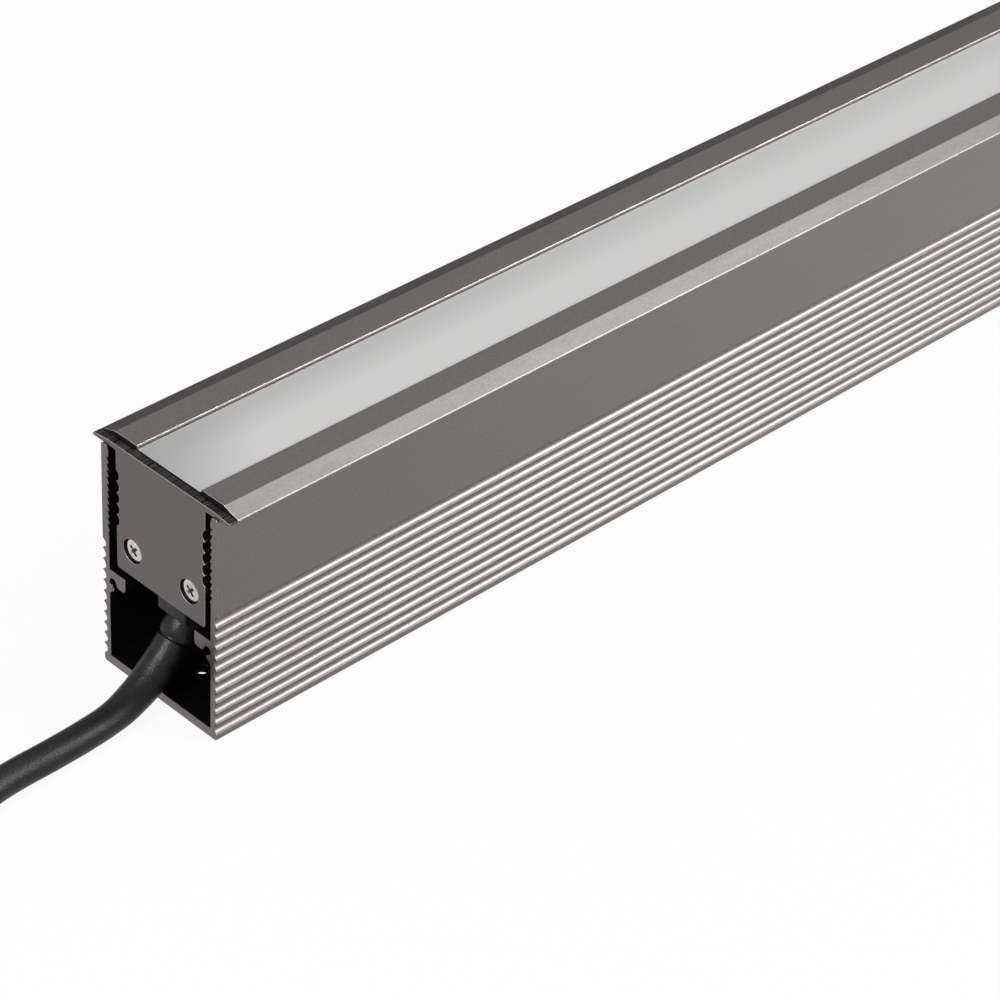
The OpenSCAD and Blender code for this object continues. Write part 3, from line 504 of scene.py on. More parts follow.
# Points in each half of the double bend and in each turn of the coil
SWING_STEPS = 6
COIL_STEPS = 24
# Where the bands hold the coil, in degrees from the light's long direction
BAND_ANGLES = (130, 310)


def eased(t):
    """Share of the way gone, slow at both ends."""
    t = min(1, max(0, t))
    return t * t * (3 - 2 * t)


def cable_points(cable, outlet):
    """Middle line of the cable from the strain relief's groove to the end of its sheath."""
    start = END_X + outlet.setback
    radius = cable.diameter / 2
    exit_height = HOUSING_LOW.z - outlet.seal - outlet.face - outlet.drop
    points = [Vector((start + x * MM, y * MM, radius + part * (exit_height - radius)))
              for x, y, part in ROUTE]
    base = points[-1].copy()
    sweep = 2 * math.atan(cable.swing_aside / cable.swing_back)
    bend = cable.swing_back / 2 / math.sin(sweep)
    lift = cable.tie_thickness + cable.band_gap
    for i in range(1, 2 * SWING_STEPS + 1):
        half = min(i, 2 * SWING_STEPS - i)
        back = bend * math.sin(sweep * half / SWING_STEPS)
        aside = bend * (1 - math.cos(sweep * half / SWING_STEPS))
        if i > SWING_STEPS:
            back, aside = cable.swing_back - back, cable.swing_aside - aside
        points.append(base + Vector((-back, -aside, lift * eased(i / 2 / SWING_STEPS))))
    first = points[-1] - Vector((cable.swing_lead, 0, 0))
    points.append(first)
    pitch = cable.diameter + cable.coil_spacing
    centre = Vector((first.x - cable.coil_lead, first.y + cable.coil_outer, 0))
    steps = round(cable.turns * COIL_STEPS)
    for i in range(steps + 1):
        points.append(coil_point(cable, centre, first.z, pitch, i / steps * cable.turns))
    end = math.radians(-90 - 360 * cable.turns)
    ahead = Vector((math.sin(end), -math.cos(end), 0))
    points.append(points[-1] + ahead * cable.coil_lead)
    return points, centre, ahead


def coil_radius(cable, pitch, turn):
    """Radius of the coil's middle line after this many turns."""
    layer = turn if turn < cable.reverse_turn else 2 * cable.reverse_turn - turn
    return cable.coil_outer - pitch * layer


def coil_point(cable, centre, low, pitch, turn):
    """Point on the coil's middle line after this many turns."""
    rise = pitch * eased((turn - cable.reverse_turn) / 0.5 + 0.5)
    around = math.radians(-90 - 360 * turn)
    radius = coil_radius(cable, pitch, turn)
    across = radius * Vector((math.cos(around), math.sin(around), 0))
    return centre + across + Vector((0, 0, low + rise))


def smoothed(points, steps):
    """Points on a smooth curve through the given ones."""
    line = []
    for i in range(len(points) - 1):
        before, start = points[max(0, i - 1)], points[i]
        end, after = points[i + 1], points[min(len(points) - 1, i + 2)]
        for step in range(steps):
            t = step / steps
            line.append(0.5 * (2 * start + (end - before) * t
                               + (2 * before - 5 * start + 4 * end - after) * t**2
                               + (3 * start - before - 3 * end + after) * t**3))
    return line + [points[-1]]


def piped(name, line, radii):
    """Round pipe along a line, with a radius at each point."""
    curve = bpy.data.curves.new(name, "CURVE")
    curve.dimensions = "3D"
    curve.bevel_depth = 1
    curve.bevel_resolution = 8
    curve.use_fill_caps = True
    spline = curve.splines.new("POLY")
    spline.points.add(len(line) - 1)
    for point, place, radius in zip(spline.points, line, radii):
        point.co = (*place, 1)
        point.radius = radius
    obj = bpy.data.objects.new(name, curve)
    bpy.context.scene.collection.objects.link(obj)
    alone(obj)
    bpy.ops.object.convert(target="MESH")
    return tidy_mesh(bpy.context.active_object, 50)


def bend_with_lift(obj):
    """Puts the piece's place into its mesh."""
    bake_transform(obj)


def rubber(name, tone, rough=0.36, sheen=0.34):
    """Satin black rubber with a soft mottled skin."""
    r = Recipe(name)
    normal, edge_wear_and_highlight = r.edges(0.3 * MM)
    mottle = r.noise(420, detail=4, rough=0.6)
    fine = r.noise(1800, detail=3)
    dust = r.spread(r.noise(55, detail=4), 0.45, 0.75, 0.0, 0.35)
    base = r.mix(r.spread(mottle, 0.3, 0.7), shade(tone, 0.6), shade(tone, 1.2))
    base = r.mix(dust, base, shade(tone, 1.8))
    base = r.mix(r.times(edge_wear_and_highlight, 0.4), base, shade(tone, 4))
    roughness = r.spread(mottle, 0.3, 0.7, rough - 0.06, rough + 0.08)
    height = r.maths("ADD", r.times(mottle, 0.35), r.times(fine, 1.6))
    return r.done(base, roughness, r.bump(height, 0.5, 0.00015, normal), Specular_IOR_Level=sheen)


class WALLWASHER_OT_lay_cable(bpy.types.Operator):
    """Lay the rubber cable from the outlet to its coil"""

    bl_idname = "wall_washer.lay_cable"
    bl_label = "Lay Cable"

    def execute(self, context):
        cable = context.scene.wall_washer_cable
        outlet = context.scene.wall_washer_outlet
        points, _, _ = cable_points(cable, outlet)
        line = smoothed(points[SLEEVE_END:], 2)
        obj = piped("mains_cable", line, [cable.diameter / 2] * len(line))
        finish_with(obj, bpy.data.materials["cable_rubber"])
        bend_with_lift(obj)
        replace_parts(obj, "cable", "cable_coil")
        return {"FINISHED"}


def coil_band(cable, degrees):
    """Band with round corners and a tab, round the turns that lie on one side of the coil."""
    pitch = cable.diameter + cable.coil_spacing
    window = cable.diameter / 2 + cable.band_gap
    skin = cable.tie_thickness
    lower_turn = skin + window
    low, high = lower_turn - window, lower_turn + pitch + window
    half = cable.tie_width / 2
    first = (-90 - degrees) / 360
    turns = [first + k for k in range(6) if 0 < first + k < cable.turns]
    radii = [coil_radius(cable, pitch, turn) for turn in turns]
    inner, outer = min(radii) - window, max(radii) + window
    band = block("band", (inner - skin, -half, low - skin), (outer + skin, half, high + skin))
    picked_in_edit(band, "FACE", lambda normal: abs(normal.y) > 0.9)
    bpy.ops.mesh.delete(type="ONLY_FACE")
    picked_in_edit(band, "EDGE", lambda run: abs(run.y) > 1e-5)
    bpy.ops.mesh.bevel(offset=3.2 * MM, segments=8, affect="EDGES")
    tidy_mesh(band)
    modify(band, "SOLIDIFY", thickness=skin, offset=-1)
    modify(band, "BEVEL", width=0.18 * MM, segments=2, limit_method="ANGLE")
    tab = block("tab", (outer - 0.1 * MM, 0.5 * MM - half, low + 2.5 * MM),
                (outer + skin + 0.35 * MM, half - 0.5 * MM, high - 2.5 * MM))
    modify(tab, "BEVEL", width=0.3 * MM, segments=3, limit_method="ANGLE")
    return joined("band", [band, tab])


class WALLWASHER_OT_band_coil(bpy.types.Operator):
    """Put two soft bands round the coil"""

    bl_idname = "wall_washer.band_coil"
    bl_label = "Band Coil"

    def execute(self, context):
        cable = context.scene.wall_washer_cable
        _, centre, _ = cable_points(cable, context.scene.wall_washer_outlet)
        bands = []
        for degrees in BAND_ANGLES:
            turn = Matrix.Rotation(math.radians(degrees), 4, "Z")
            bands.append(settle(coil_band(cable, degrees), Matrix.Translation(centre) @ turn))
        obj = tidy_mesh(joined("coil_bands", bands))
        weave = plain("band_weave", (0.02, 0.02, 0.021), (0.035, 0.035, 0.036), 0.85, grain=2600,
                      depth=0.00012, strength=0.5, streak=(1, 1, 0.4), Sheen_Weight=0.2)
        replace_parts(finish_with(obj, weave), "coil_ties")
        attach(obj, "channel")
        return {"FINISHED"}


def ferrule():
    """Collared sleeve with four crimps, from its mouth up."""
    profile = [(1.0, -0.6), (1.45, -0.5), (1.5, -0.2), (1.5, 1.6), (1.38, 1.9), (1.0, 2.2), (0.95, 2.6)]
    for crimp in range(4):
        at = 3.0 + 1.1 * crimp
        profile += [(0.95, at), (0.82, at + 0.2), (0.82, at + 0.55), (0.95, at + 0.75)]
    profile += [(0.95, 7.6), (0.85, 7.9), (0.6, 8.0)]
    return turned("ferrule", [(radius * MM, height * MM) for radius, height in profile], 24)


class WALLWASHER_OT_crimp_ferrules(bpy.types.Operator):
    """Crimp a ferrule on the end of each core"""

    bl_idname = "wall_washer.crimp_ferrules"
    bl_label = "Crimp Ferrules"

    def execute(self, context):
        cable = context.scene.wall_washer_cable
        points, _, ahead = cable_points(cable, context.scene.wall_washer_outlet)
        pattern = ferrule()
        along = Matrix.Rotation(math.atan2(ahead.y, ahead.x), 4, "Z") @ Matrix.Rotation(math.pi / 2, 4, "Y")
        sheath_end = Matrix.Translation(points[-1]) @ along
        apart, lean, bared = 1.4 * MM, math.radians(4), 18 * MM
        core = (Matrix.Translation((apart, 0, 0.1 * MM)) @ Matrix.Rotation(lean, 4, "Y")
                @ Matrix.Translation((0, 0, bared)))
        copies = []
        for turn in (60, -60, 180):
            place = sheath_end @ Matrix.Rotation(math.radians(turn), 4, "Z") @ core
            copies.append(twin(pattern, "ferrule", place))
        bpy.data.objects.remove(pattern)
        obj = joined("crimped_ferrules", copies)
        tin = plain("tinned_copper", (0.62, 0.61, 0.58), (0.5, 0.49, 0.47), 0.3, metal=1.0, grain=900)
        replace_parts(finish_with(obj, tin), "core_ferrules")
        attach(obj, "channel")
        return {"FINISHED"}


# Outlet


# Rounding of the lips on both sides of the groove
LIP = 0.2 * MM


def mouth(outlet, points):
    """Slope of the outlet's lower face, its low front edge, and its distance behind the groove."""
    start = points[0]
    slope = math.atan2(start.z - points[1].z, start.x - points[1].x)
    edge = Vector((END_X + outlet.setback, 0, HOUSING_LOW.z - outlet.seal - outlet.face))
    behind = (edge.z - start.z) * math.sin(slope) - (start.x - edge.x) * math.cos(slope)
    return slope, edge, behind


def outlet_body(outlet, points):
    """Block whose lower side is cut square to the cable in front and rises to the back."""
    start = points[0]
    slope, edge, _ = mouth(outlet, points)
    half_depth = (start.x - edge.x) * math.sin(slope) + (edge.z - start.z) * math.cos(slope)
    heel = edge + 2 * half_depth * Vector((math.sin(slope), 0, -math.cos(slope)))
    half, back_x = outlet.width / 2, edge.x + outlet.length
    body = block("moulded_outlet", (edge.x, -half, heel.z), (back_x, half, edge.z + outlet.face))
    shaved(body, edge, Vector((-math.cos(slope), 0, -math.sin(slope))))
    run = Vector((back_x, 0, heel.z + 2.5 * MM)) - heel
    shaved(body, heel, Vector((run.z, 0, -run.x)).normalized())
    modify(body, "BEVEL", width=0.45 * MM, segments=4, limit_method="ANGLE",
           angle_limit=math.radians(20))
    return tidy_mesh(body)


def relief_sleeve(cable, points):
    """Swollen start of the cable, with a lip at the groove, which thins to the cable's own width."""
    line = smoothed(points[:SLEEVE_END + 1], 3)
    swell = [min(1, (SLEEVE_END - i / 3) / SLEEVE_STEPS) for i in range(len(line))]
    radii = [cable.diameter / 2 + cable.swell * part for part in swell]
    radii[0] -= LIP
    line.insert(1, line[0] + (line[1] - line[0]).normalized() * LIP)
    radii.insert(1, radii[1])
    return piped("sleeve", line, radii)


def relief_collar(cable, outlet, points):
    """Turned collar from the groove to the outlet's lower face and on into the outlet."""
    slope, _, behind = mouth(outlet, points)
    slim = cable.diameter / 2 + cable.swell - outlet.step
    wide = slim + outlet.taper
    neck = slim - outlet.ring_depth
    core = slim - 0.6 * MM
    ring = outlet.ring
    profile = [(neck, -0.3 * MM), (neck, ring), (slim - LIP, ring), (slim - 0.06 * MM, ring + 0.07 * MM),
               (slim, ring + LIP), (slim + outlet.taper * 0.7, behind * 0.35),
               (wide - 0.04 * MM, behind * 0.8), (wide - 0.1 * MM, behind), (core, behind),
               (core, behind + 4.4 * MM)]
    turn = Matrix.Rotation(math.pi / 2 - slope, 4, "Y")
    return settle(turned("collar", profile, 64), Matrix.Translation(points[0]) @ turn)


class WALLWASHER_OT_mould_outlet(bpy.types.Operator):
    """Mould the outlet under the housing, its tapered collar and the sleeve"""

    bl_idname = "wall_washer.mould_outlet"
    bl_label = "Mould Outlet"

    def execute(self, context):
        cable = context.scene.wall_washer_cable
        outlet = context.scene.wall_washer_outlet
        points, _, _ = cable_points(cable, outlet)
        body = outlet_body(outlet, points)
        moulding = plain("moulded_black", outlet.moulding, shade(outlet.moulding, 1.5), 0.42, grain=1300,
                         depth=0.00006, strength=0.3, Specular_IOR_Level=0.25)
        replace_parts(finish_with(body, moulding), "cable_gland")
        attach(body, "luminaire")

        sleeve = relief_sleeve(cable, points)
        collar = relief_collar(cable, outlet, points)
        relief = joined("moulded_strain_relief", [collar, sleeve])
        finish_with(relief, rubber("cable_rubber", cable.sheath))
        bend_with_lift(relief)
        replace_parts(relief, "strain_relief", "cable_sleeve")
        return {"FINISHED"}


# Cap screws


def cross_cutter(turn):
    """Tapered bar that cuts one arm of a screw's cross."""
    clear()
    bpy.ops.mesh.primitive_cube_add(size=1, location=(0, 0, 0.45 * MM),
                                    scale=(3.3 * MM, 0.82 * MM, 1.9 * MM))
    bar = settle(added("cross_bar"))
    picked_in_edit(bar, "FACE", lambda normal: normal.z > 0.9)
    bpy.ops.transform.resize(value=(0.62, 0.85, 1), center_override=(0, 0, 1.4 * MM))
    return settle(bar, Matrix.Rotation(turn, 4, "Z"))


def cap_screw(screw):
    """Countersunk screw, from its crown down, with a cross cut into its head."""
    head, core = screw.head / 2, screw.thread / 2
    rim, pitch = 0.3 * MM, 0.5 * MM
    profile = [(0.02 * MM, -screw.dome)]
    for step in range(1, 7):
        part = step / 6.6
        profile.append((head * part, -screw.dome * (1 - part * part)))
    profile += [(head - 0.05 * MM, 0.03 * MM), (head, 0.1 * MM), (head, rim), (core, rim + head - core)]
    at = rim + head - core + 0.3 * MM
    while at < screw.shank - 0.6 * MM:
        profile += [(core, at), (core, at + 0.08 * MM), (core - 0.22 * MM, at + 0.3 * MM)]
        at += pitch
    profile += [(core - 0.25 * MM, at), (core * 0.55, screw.shank)]
    pattern = turned("cap_screw", profile, 40)
    for degrees in (45, 135):
        carved(pattern, cross_cutter(math.radians(degrees)))
    clear()
    bpy.ops.mesh.primitive_cone_add(vertices=24, radius1=0.85 * MM, radius2=0.1 * MM, depth=2.2 * MM,
                                    location=(0, 0, 0.62 * MM))
    carved(pattern, settle(added("cross_cone")))
    modify(pattern, "BEVEL", width=0.04 * MM, segments=1, limit_method="ANGLE",
           angle_limit=math.radians(40))
    return tidy_mesh(pattern, 32)


class WALLWASHER_OT_drive_screws(bpy.types.Operator):
    """Drive the countersunk screws into both end caps"""

    bl_idname = "wall_washer.drive_screws"
    bl_label = "Drive Cap Screws"

    def execute(self, context):
        screw = context.scene.wall_washer_screws
        pattern = cap_screw(screw)
        # The nickel finish paints shade on the screws below their heads' faces
        nickel = plain("bright_nickel", screw.nickel, shade(screw.nickel, 0.7), 0.18, metal=1.0,
                       grain=3000, depth=0.00002, strength=0.15, edge=0.06 * MM, wear_and_highlight=0.4,
                       sunk_painted_shade=abs(CAP_FACE_X) - screw.recess - 0.12 * MM)
        inward = Matrix.Rotation(math.pi / 2, 4, "Y")
        height = HOUSING_LOW.z + screw.rise
        for end, name, node in ((1, "screws_cable_end", "end_screws_cable_end"),
                                (-1, "screws_far_end", "end_screws_far_end")):
            face = CAP_FACE_X + screw.recess if end > 0 else CAP_FAR_X - screw.recess
            turned_in = inward if end > 0 else Matrix.Rotation(math.pi, 4, "Z") @ inward
            pair = []
            for side in (-1, 1):
                place = Matrix.Translation((face, side * screw.spread / 2, height)) @ turned_in
                pair.append(twin(pattern, "screw", place))
            obj = finish_with(joined(name, pair), nickel)
            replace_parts(obj, node)
            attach(obj, "luminaire")
        bpy.data.objects.remove(pattern)
        return {"FINISHED"}


# Finishes of the frame's own nodes


def milled_cap(name, tone, rough, edge, screw):
    """Anodised cap whose narrow rim is finely milled and darker than its face, partly by finish and partly by
    painted shade; its pockets carry painted shade and its front edges a painted highlight.
    """
    r = Recipe(name)
    normal, edge_wear_and_highlight = r.edges(edge)
    on_face = r.spread(r.facing(0), 0.5, 0.8)
    fine = r.noise(2600, detail=2, rough=0.7)
    cutter = r.noise(700, (0.1, 3.2, 0.1), detail=2)
    at_face = r.maths("GREATER_THAN", r.size_of(0), abs(CAP_FACE_X) - 0.8 * MM)
    face = r.mix(r.spread(fine, 0.3, 0.7, 0.0, 0.3), shade(tone, 0.94), shade(tone, 1.25))
    # Near-black rim: partly its milled finish, partly painted shade
    rim = r.mix(r.spread(cutter, 0.35, 0.65), shade(tone, 0.04), shade(tone, 0.42))
    base = r.mix(on_face, rim, face)
    # Painted highlight: a bright line along the front face's edges
    base = r.mix(r.times(edge_wear_and_highlight, at_face), base, shade(tone, 4.2))
    # Painted shade in the screw pockets round each head, below the face
    sideways = r.maths("SUBTRACT", r.size_of(1), screw.spread / 2)
    upward = r.maths("SUBTRACT", r.axis(2), HOUSING_LOW.z + screw.rise)
    away = r.maths("SQRT", r.maths("ADD", r.times(sideways, sideways), r.times(upward, upward)))
    sunk_painted_shade = r.maths("LESS_THAN", r.size_of(0), abs(CAP_FACE_X) - 0.07 * MM)
    painted_pocket_shade = r.times(sunk_painted_shade, r.maths("LESS_THAN", away, screw.head / 2 + 0.9 * MM))
    base = r.mix(painted_pocket_shade, base, shade(tone, 0.12))
    roughness = r.spread(on_face, 0, 1, 0.55, rough)
    height = r.mix(on_face, r.grey(cutter), r.grey(fine))
    return r.done(base, roughness, r.bump(height, 0.3, 0.00008, normal), Metallic=1.0)


def frosted(name, tone):
    """Frosted plastic strip: satin, faintly cloudy, with painted shadow beside the far flange, painted shade
    by the cap and a painted highlight on its edges.
    """
    r = Recipe(name)
    normal, edge_wear_and_highlight = r.edges(0.2 * MM)
    clouds = r.noise(9, (0.4, 1, 1), detail=2)
    fine = r.noise(2200, detail=2)
    base = r.mix(r.spread(clouds, 0.35, 0.65), shade(tone, 0.97), shade(tone, 1.02))
    # Painted shadow of the far flange along that side, weaker further from the cap
    edge_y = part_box("diffuser")[1].y
    beside = r.spread(r.axis(1), -0.2 * edge_y, edge_y, 0.0, 1.0, smooth=True)
    along = r.spread(r.axis(0), CAP_FACE_X + 20 * MM, CAP_FACE_X + 200 * MM, 1.0, 0.62)
    base = r.mix(r.times(beside, along), base, shade(tone, 0.74))
    # Painted shade across the cap end, along a slanting band
    slanting = r.maths("SUBTRACT", r.axis(0), r.times(r.axis(1), 0.8))
    painted_end_shade = r.spread(slanting, CAP_FACE_X - 8 * MM, CAP_FACE_X + 34 * MM, 1.0, 0.0, smooth=True)
    base = r.mix(painted_end_shade, base, shade(tone, 0.6))
    # Painted highlight along the strip's edges
    base = r.mix(r.times(edge_wear_and_highlight, 0.6), base, shade(tone, 1.5))
    roughness = r.spread(fine, 0.3, 0.7, 0.36, 0.44)
    return r.done(base, roughness, r.bump(fine, 0.08, 0.00003, normal), Subsurface_Weight=0.15,
                  Subsurface_Scale=0.002)


def board(name, tone, track):
    """Circuit board: lacquer with tracks running along it."""
    r = Recipe(name)
    normal, edge_wear_and_highlight = r.edges(0.1 * MM)
    sizes = {"Scale": 180, "Mortar Size": 0.06, "Brick Width": 2.2, "Row Height": 0.5}
    brick = r.add("TexBrick", {"Vector": r.place, **sizes}).outputs["Fac"]
    fine = r.noise(1600)
    base = r.mix(brick, tone, track)
    base = r.mix(r.spread(fine, 0.3, 0.7, 0.0, 0.25), base, shade(tone, 0.8))
    base = r.mix(edge_wear_and_highlight, base, shade(tone, 1.3))
    roughness = r.spread(fine, 0.3, 0.7, 0.28, 0.4)
    return r.done(base, roughness, r.bump(brick, 0.3, 0.00003, normal))


def striped(name, tone, other):
    """Two-colour insulation with stripes round it."""
    r = Recipe(name)
    normal, edge_wear_and_highlight = r.edges(0.1 * MM)
    inputs = {"Vector": r.place, "Scale": 120}
    wave = r.add("TexWave", inputs, bands_direction="Y").outputs["Fac"]
    fine = r.noise(1500)
    base = r.mix(r.spread(wave, 0.45, 0.55), tone, other)
    base = r.mix(r.spread(fine, 0.3, 0.7, 0.0, 0.2), base, shade(tone, 0.7))
    base = r.mix(r.times(edge_wear_and_highlight, 0.3), base, shade(tone, 1.4))
    return r.done(base, r.spread(fine, 0.3, 0.7, 0.38, 0.5), r.bump(fine, 0.2, 0.00003, normal))


# Nodes, material name, two tones and roughness, then metal and grain where they differ
PLAIN_FINISHES = (
    ("diffuser_seals", "seam_sealant", (0.36, 0.36, 0.36), (0.42, 0.42, 0.42), 0.4),
    ("board_connector", "white_lacquer", (0.78, 0.78, 0.75), (0.7, 0.7, 0.68), 0.35),
    ("reflectors", "satin_reflector", (0.82, 0.82, 0.81), (0.76, 0.76, 0.75), 0.22, 1.0),
    ("board_screws earth_lug", "zinc_plate", (0.6, 0.6, 0.58), (0.5, 0.5, 0.5), 0.3, 1.0, 800),
    ("earth_screw gland_nipple gland_nut", "turned_brass", (0.72, 0.52, 0.2), (0.6, 0.42, 0.16), 0.26,
     1.0, 900),
    ("led_chips", "led_phosphor", (0.85, 0.6, 0.12), (0.9, 0.7, 0.25), 0.3),
    ("thermal_pads", "thermal_pad", (0.25, 0.27, 0.3), (0.3, 0.32, 0.35), 0.7),
    ("led_leads", "red_insulation", (0.35, 0.03, 0.02), (0.45, 0.05, 0.03), 0.45),
    ("driver_insulator", "insulating_sheet", (0.75, 0.7, 0.55), (0.8, 0.76, 0.62), 0.5),
    ("driver_transformer", "ferrite_and_tape", (0.05, 0.05, 0.05), (0.3, 0.2, 0.03), 0.4),
    ("driver_capacitors", "can_sleeve", (0.02, 0.03, 0.09), (0.03, 0.04, 0.13), 0.3),
    ("driver_inductor", "enamelled_wire", (0.5, 0.18, 0.06), (0.62, 0.26, 0.1), 0.25, 1.0, 1400),
    ("driver_chips", "chip_epoxy", (0.02, 0.02, 0.02), (0.03, 0.03, 0.032), 0.55),
    ("driver_terminals", "terminal_plastic", (0.02, 0.16, 0.05), (0.03, 0.2, 0.07), 0.4),
    ("supply_leads", "lead_insulation", (0.12, 0.05, 0.02), (0.16, 0.07, 0.03), 0.42),
    ("core_brown", "brown_insulation", (0.11, 0.04, 0.015), (0.14, 0.055, 0.02), 0.42),
    ("core_blue", "blue_insulation", (0.015, 0.06, 0.3), (0.02, 0.08, 0.36), 0.42),
)


class WALLWASHER_OT_finish_frame(bpy.types.Operator):
    """Give each part of the frame its finish"""

    bl_idname = "wall_washer.finish_frame"
    bl_label = "Finish Frame"

    def execute(self, context):
        finish = context.scene.wall_washer_finish
        sheath = context.scene.wall_washer_cable.sheath
        tone, rough, edge = finish.anodised, finish.anodised_rough, finish.edge
        bore = CHANNEL_HIGH.y - 1.8 * MM
        # Painted shade inside the channel: its inner walls and floor at half the tone
        profile = anodised("anodised_profile", tone, rough, edge, wear_and_highlight=0.45, painted_slot_light=0.5,
                           inner=(bore, CHANNEL_LOW.z + 1 * MM, CHANNEL_HIGH.z))
        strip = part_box("diffuser")[1]
        # Painted highlight on the lips' inner faces just above the diffuser
        body = anodised("anodised_housing", shade(tone, 0.98), rough - 0.02, edge * 1.3, 1700, 1.0, 5,
                        inner=(strip.y + 0.45 * MM, strip.z - 0.5 * MM, strip.z + 0.65 * MM), painted_slot_light=3.3)
        cap = milled_cap("milled_cap", shade(tone, 0.89), rough + 0.03, edge * 1.3,
                         context.scene.wall_washer_screws)
        rubber_black = rubber("gasket_rubber", sheath, 0.7, 0.08)
        spring = plain("spring_steel", (0.52, 0.52, 0.52), (0.44, 0.44, 0.45), 0.28, metal=1.0,
                       streak=(1, 1, 0.1))
        parts = {
            "channel": profile, "housing": body,
            "end_cap_cable_end": cap, "end_cap_far_end": cap,
            "end_gasket_cable_end": rubber_black, "end_gasket_far_end": rubber_black,
            "lead_grommet": rubber_black, "retaining_springs": spring,
            "diffuser": frosted("frosted_opal", finish.opal),
            "led_boards": board("led_board_lacquer", (0.8, 0.8, 0.78), (0.66, 0.66, 0.64)),
            "driver_board": board("driver_board_lacquer", (0.02, 0.12, 0.06), (0.04, 0.2, 0.1)),
            "gland_seal": rubber("seal_rubber", shade(sheath, 2), 0.65),
            "core_earth": striped("earth_insulation", (0.06, 0.3, 0.03), (0.62, 0.55, 0.02)),
        }
        for nodes, *values in PLAIN_FINISHES:
            parts.update(dict.fromkeys(nodes.split(), plain(*values)))
        for name, material in parts.items():
            finish_with(NODES[name], material)
        return {"FINISHED"}


# Stage


VIEW_MIDDLE = Vector((-0.1, 0, 0.05))
# Name, direction and distance from the middle of the view, size and power setting of each lamp
SOFTBOXES = (
    ("front_softbox", (0.588, -0.62, 0.50), 1.6, (0.85, 1.15), "key_power"),
    ("overhead_softbox", (0.588, 0.02, 0.81), 1.6, (0.8, 0.8), "top_power"),
    ("side_softbox", (-0.83, -0.07, 0.56), 1.5, (0.35, 0.35), "side_power"),
)
# Direction, distance and size of the card that darkens what the far flange mirrors
CARD_ASIDE = Vector((0.588, 0.794, 0.1))
CARD_DISTANCE = 1.8
CARD_SIZE = (2.4, 1.25)
# Where along the light the floor's mirrored glow reaches its full strength
FULL_GLOW_X = 0.06


def softbox(name, place, aim, size, power):
    """Rectangular area lamp that shines at a point."""
    clear()
    bpy.ops.object.light_add(type="AREA", location=place)
    lamp = bpy.context.active_object
    lamp.name = name
    lamp.rotation_mode = "QUATERNION"
    lamp.rotation_quaternion = (aim - place).to_track_quat("-Z", "Y")
    lamp.data.shape = "RECTANGLE"
    lamp.data.size, lamp.data.size_y = size
    lamp.data.energy = power


def seen_directly(wiring, but_for=0.0, mirrored=1.0):
    """1 for rays from the camera and, away from the given mask, a share of it for mirrored ones."""
    path = wiring.add("LightPath").outputs
    bounced = wiring.maths("MAXIMUM", path["Is Glossy Ray"], path["Is Transmission Ray"])
    bounced = wiring.times(wiring.maths("SUBTRACT", bounced, but_for), mirrored)
    return wiring.maths("MAXIMUM", path["Is Camera Ray"], bounced)


def mixed(wiring, output, weight, first, second):
    """Ends a node tree in a mix of two shaders."""
    blend = wiring.add("MixShader", {0: weight, 1: first.outputs[0], 2: second.outputs[0]})
    wiring.add(output, {"Surface": blend.outputs[0]})


def glowing_floor(stage):
    """Pale matt floor that the camera and bare metal see white, but for the channel's foot."""
    wiring = Wiring(bpy.data.materials.new("pale_floor"))
    pale = wiring.add("BsdfDiffuse", {"Color": (0.9, 0.9, 0.9, 1)})
    seen = wiring.add("LightPath").outputs["Is Camera Ray"]
    along, aside = wiring.axis(0), wiring.axis(1)
    mirrored = wiring.spread(along, CHANNEL_LOW.x, FULL_GLOW_X, stage.near_glow, 1.0)
    glow = wiring.add("Emission", {"Strength": wiring.maths("MAXIMUM", seen, mirrored)})
    foot = wiring.times(wiring.between(along, CHANNEL_LOW.x, CHANNEL_HIGH.x),
                        wiring.between(aside, CHANNEL_LOW.y, CHANNEL_HIGH.y))
    weight = wiring.times(seen_directly(wiring, foot), stage.floor_glow)
    mixed(wiring, "OutputMaterial", weight, pale, glow)
    return wiring.owner


def light_world(world, stage):
    """Surroundings that the camera sees white and that light the object evenly."""
    wiring = Wiring(world)
    white = (1, 1, 1, 1)
    seen = wiring.add("Background", {"Color": white, "Strength": 1})
    lit = wiring.add("Background", {"Color": white, "Strength": stage.ambient})
    mixed(wiring, "OutputWorld", seen_directly(wiring, mirrored=stage.mirrored_sky), lit, seen)


def grey_card():
    """Upright card beside the light, seen only in the metal."""
    clear()
    bpy.ops.mesh.primitive_plane_add(size=1, location=(0, 0, 0))
    card = added("grey_card")
    card.scale = (*CARD_SIZE, 1)
    upright = Matrix.Rotation(math.atan2(CARD_ASIDE.y, CARD_ASIDE.x) - math.pi / 2, 4, "Z")
    upright = upright @ Matrix.Rotation(math.pi / 2, 4, "X")
    settle(settle(card), Matrix.Translation(VIEW_MIDDLE + CARD_DISTANCE * CARD_ASIDE) @ upright)
    card.visible_camera = False
    wiring = Wiring(bpy.data.materials.new("grey_card"))
    dull = wiring.add("BsdfPrincipled", {"Base Color": (0.1, 0.1, 0.1, 1), "Roughness": 1})
    wiring.add("OutputMaterial", {"Surface": dull.outputs[0]})
    return finish_with(card, wiring.owner)


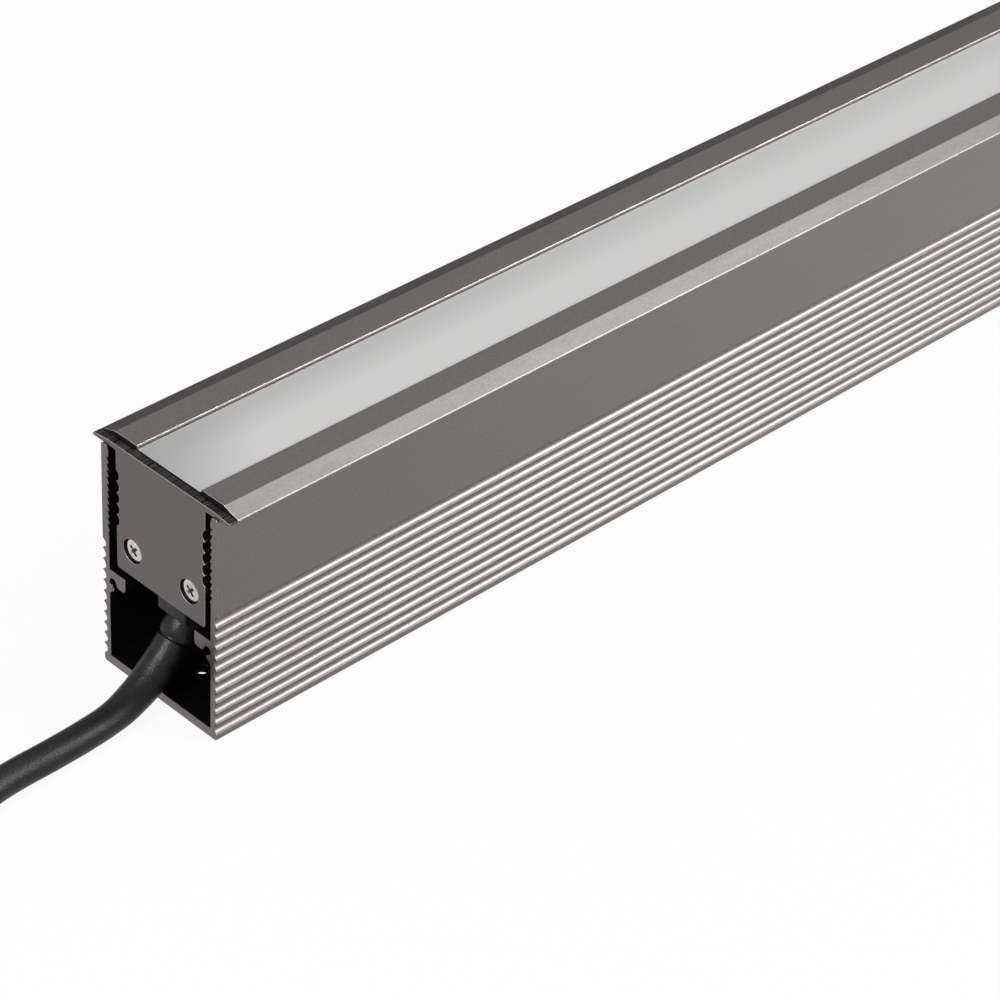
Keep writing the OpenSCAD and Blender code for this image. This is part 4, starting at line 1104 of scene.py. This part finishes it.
class WALLWASHER_OT_place_camera(bpy.types.Operator):
    """Place the camera at the photograph's angle"""

    bl_idname = "wall_washer.place_camera"
    bl_label = "Place Camera"

    def execute(self, context):
        stage = context.scene.wall_washer_stage
        clear()
        bpy.ops.object.camera_add(location=stage.eye)
        camera = bpy.context.active_object
        camera.name = "camera"
        flat = math.cos(stage.elevation)
        back = Vector((math.sin(stage.azimuth) * flat, -math.cos(stage.azimuth) * flat,
                       math.sin(stage.elevation)))
        level = (-back).to_track_quat("-Z", "Y").to_matrix().to_4x4()
        turn = Matrix.Rotation(stage.roll, 4, "Z")
        camera.matrix_world = Matrix.Translation(stage.eye) @ level @ turn
        camera.data.sensor_width = 36
        camera.data.lens = stage.lens
        camera.data.clip_start, camera.data.clip_end = 0.01, 50
        context.scene.camera = camera
        return {"FINISHED"}


class WALLWASHER_OT_build_stage(bpy.types.Operator):
    """Build the pale floor, the white surroundings and the soft light"""

    bl_idname = "wall_washer.build_stage"
    bl_label = "Build Stage"

    def execute(self, context):
        stage = context.scene.wall_washer_stage
        clear()
        bpy.ops.mesh.primitive_plane_add(size=stage.floor_size, location=(0, 0, 0))
        floor = settle(added("pale_floor"))
        finish_with(floor, glowing_floor(stage))
        context.scene.world = context.scene.world or bpy.data.worlds.new("surroundings")
        light_world(context.scene.world, stage)
        for name, direction, distance, size, power in SOFTBOXES:
            place = VIEW_MIDDLE + distance * Vector(direction)
            softbox(name, place, VIEW_MIDDLE, size, getattr(stage, power))
        grey_card()
        context.scene.view_settings.view_transform = "Standard"
        return {"FINISHED"}


class WALLWASHER_PT_panel(bpy.types.Panel):
    """Wall washer light"""

    bl_idname = "WALLWASHER_PT_panel"
    bl_label = "Wall Washer Light"
    bl_space_type = "VIEW_3D"
    bl_region_type = "UI"
    bl_category = "Wall Washer"

    def draw(self, context):
        for key in ("cable", "outlet", "screws", "finish", "stage"):
            settings = getattr(context.scene, "wall_washer_" + key)
            box = self.layout.box()
            box.label(text=key.title())
            for name in settings.__annotations__:
                box.prop(settings, name)
        for operator in STEPS:
            self.layout.operator(operator.bl_idname)


STEPS = (
    WALLWASHER_OT_place_camera,
    WALLWASHER_OT_crimp_ferrules,
    WALLWASHER_OT_band_coil,
    WALLWASHER_OT_mould_outlet,
    WALLWASHER_OT_lay_cable,
    WALLWASHER_OT_drive_screws,
    WALLWASHER_OT_finish_frame,
    WALLWASHER_OT_build_stage,
)
SETTINGS = {
    "cable": CableSettings,
    "outlet": OutletSettings,
    "screws": ScrewSettings,
    "finish": FinishSettings,
    "stage": StageSettings,
}


def register():
    for key, group in SETTINGS.items():
        bpy.utils.register_class(group)
        setattr(bpy.types.Scene, "wall_washer_" + key, bpy.props.PointerProperty(type=group))
    for operator in STEPS:
        bpy.utils.register_class(operator)
    bpy.utils.register_class(WALLWASHER_PT_panel)


def unregister():
    bpy.utils.unregister_class(WALLWASHER_PT_panel)
    for operator in reversed(STEPS):
        bpy.utils.unregister_class(operator)
    for key, group in reversed(SETTINGS.items()):
        delattr(bpy.types.Scene, "wall_washer_" + key)
        bpy.utils.unregister_class(group)


def main():
    register()
    for operator in STEPS:
        category, name = operator.bl_idname.split(".")
        getattr(getattr(bpy.ops, category), name)()
    clear()


if __name__ == "__main__":
    main()
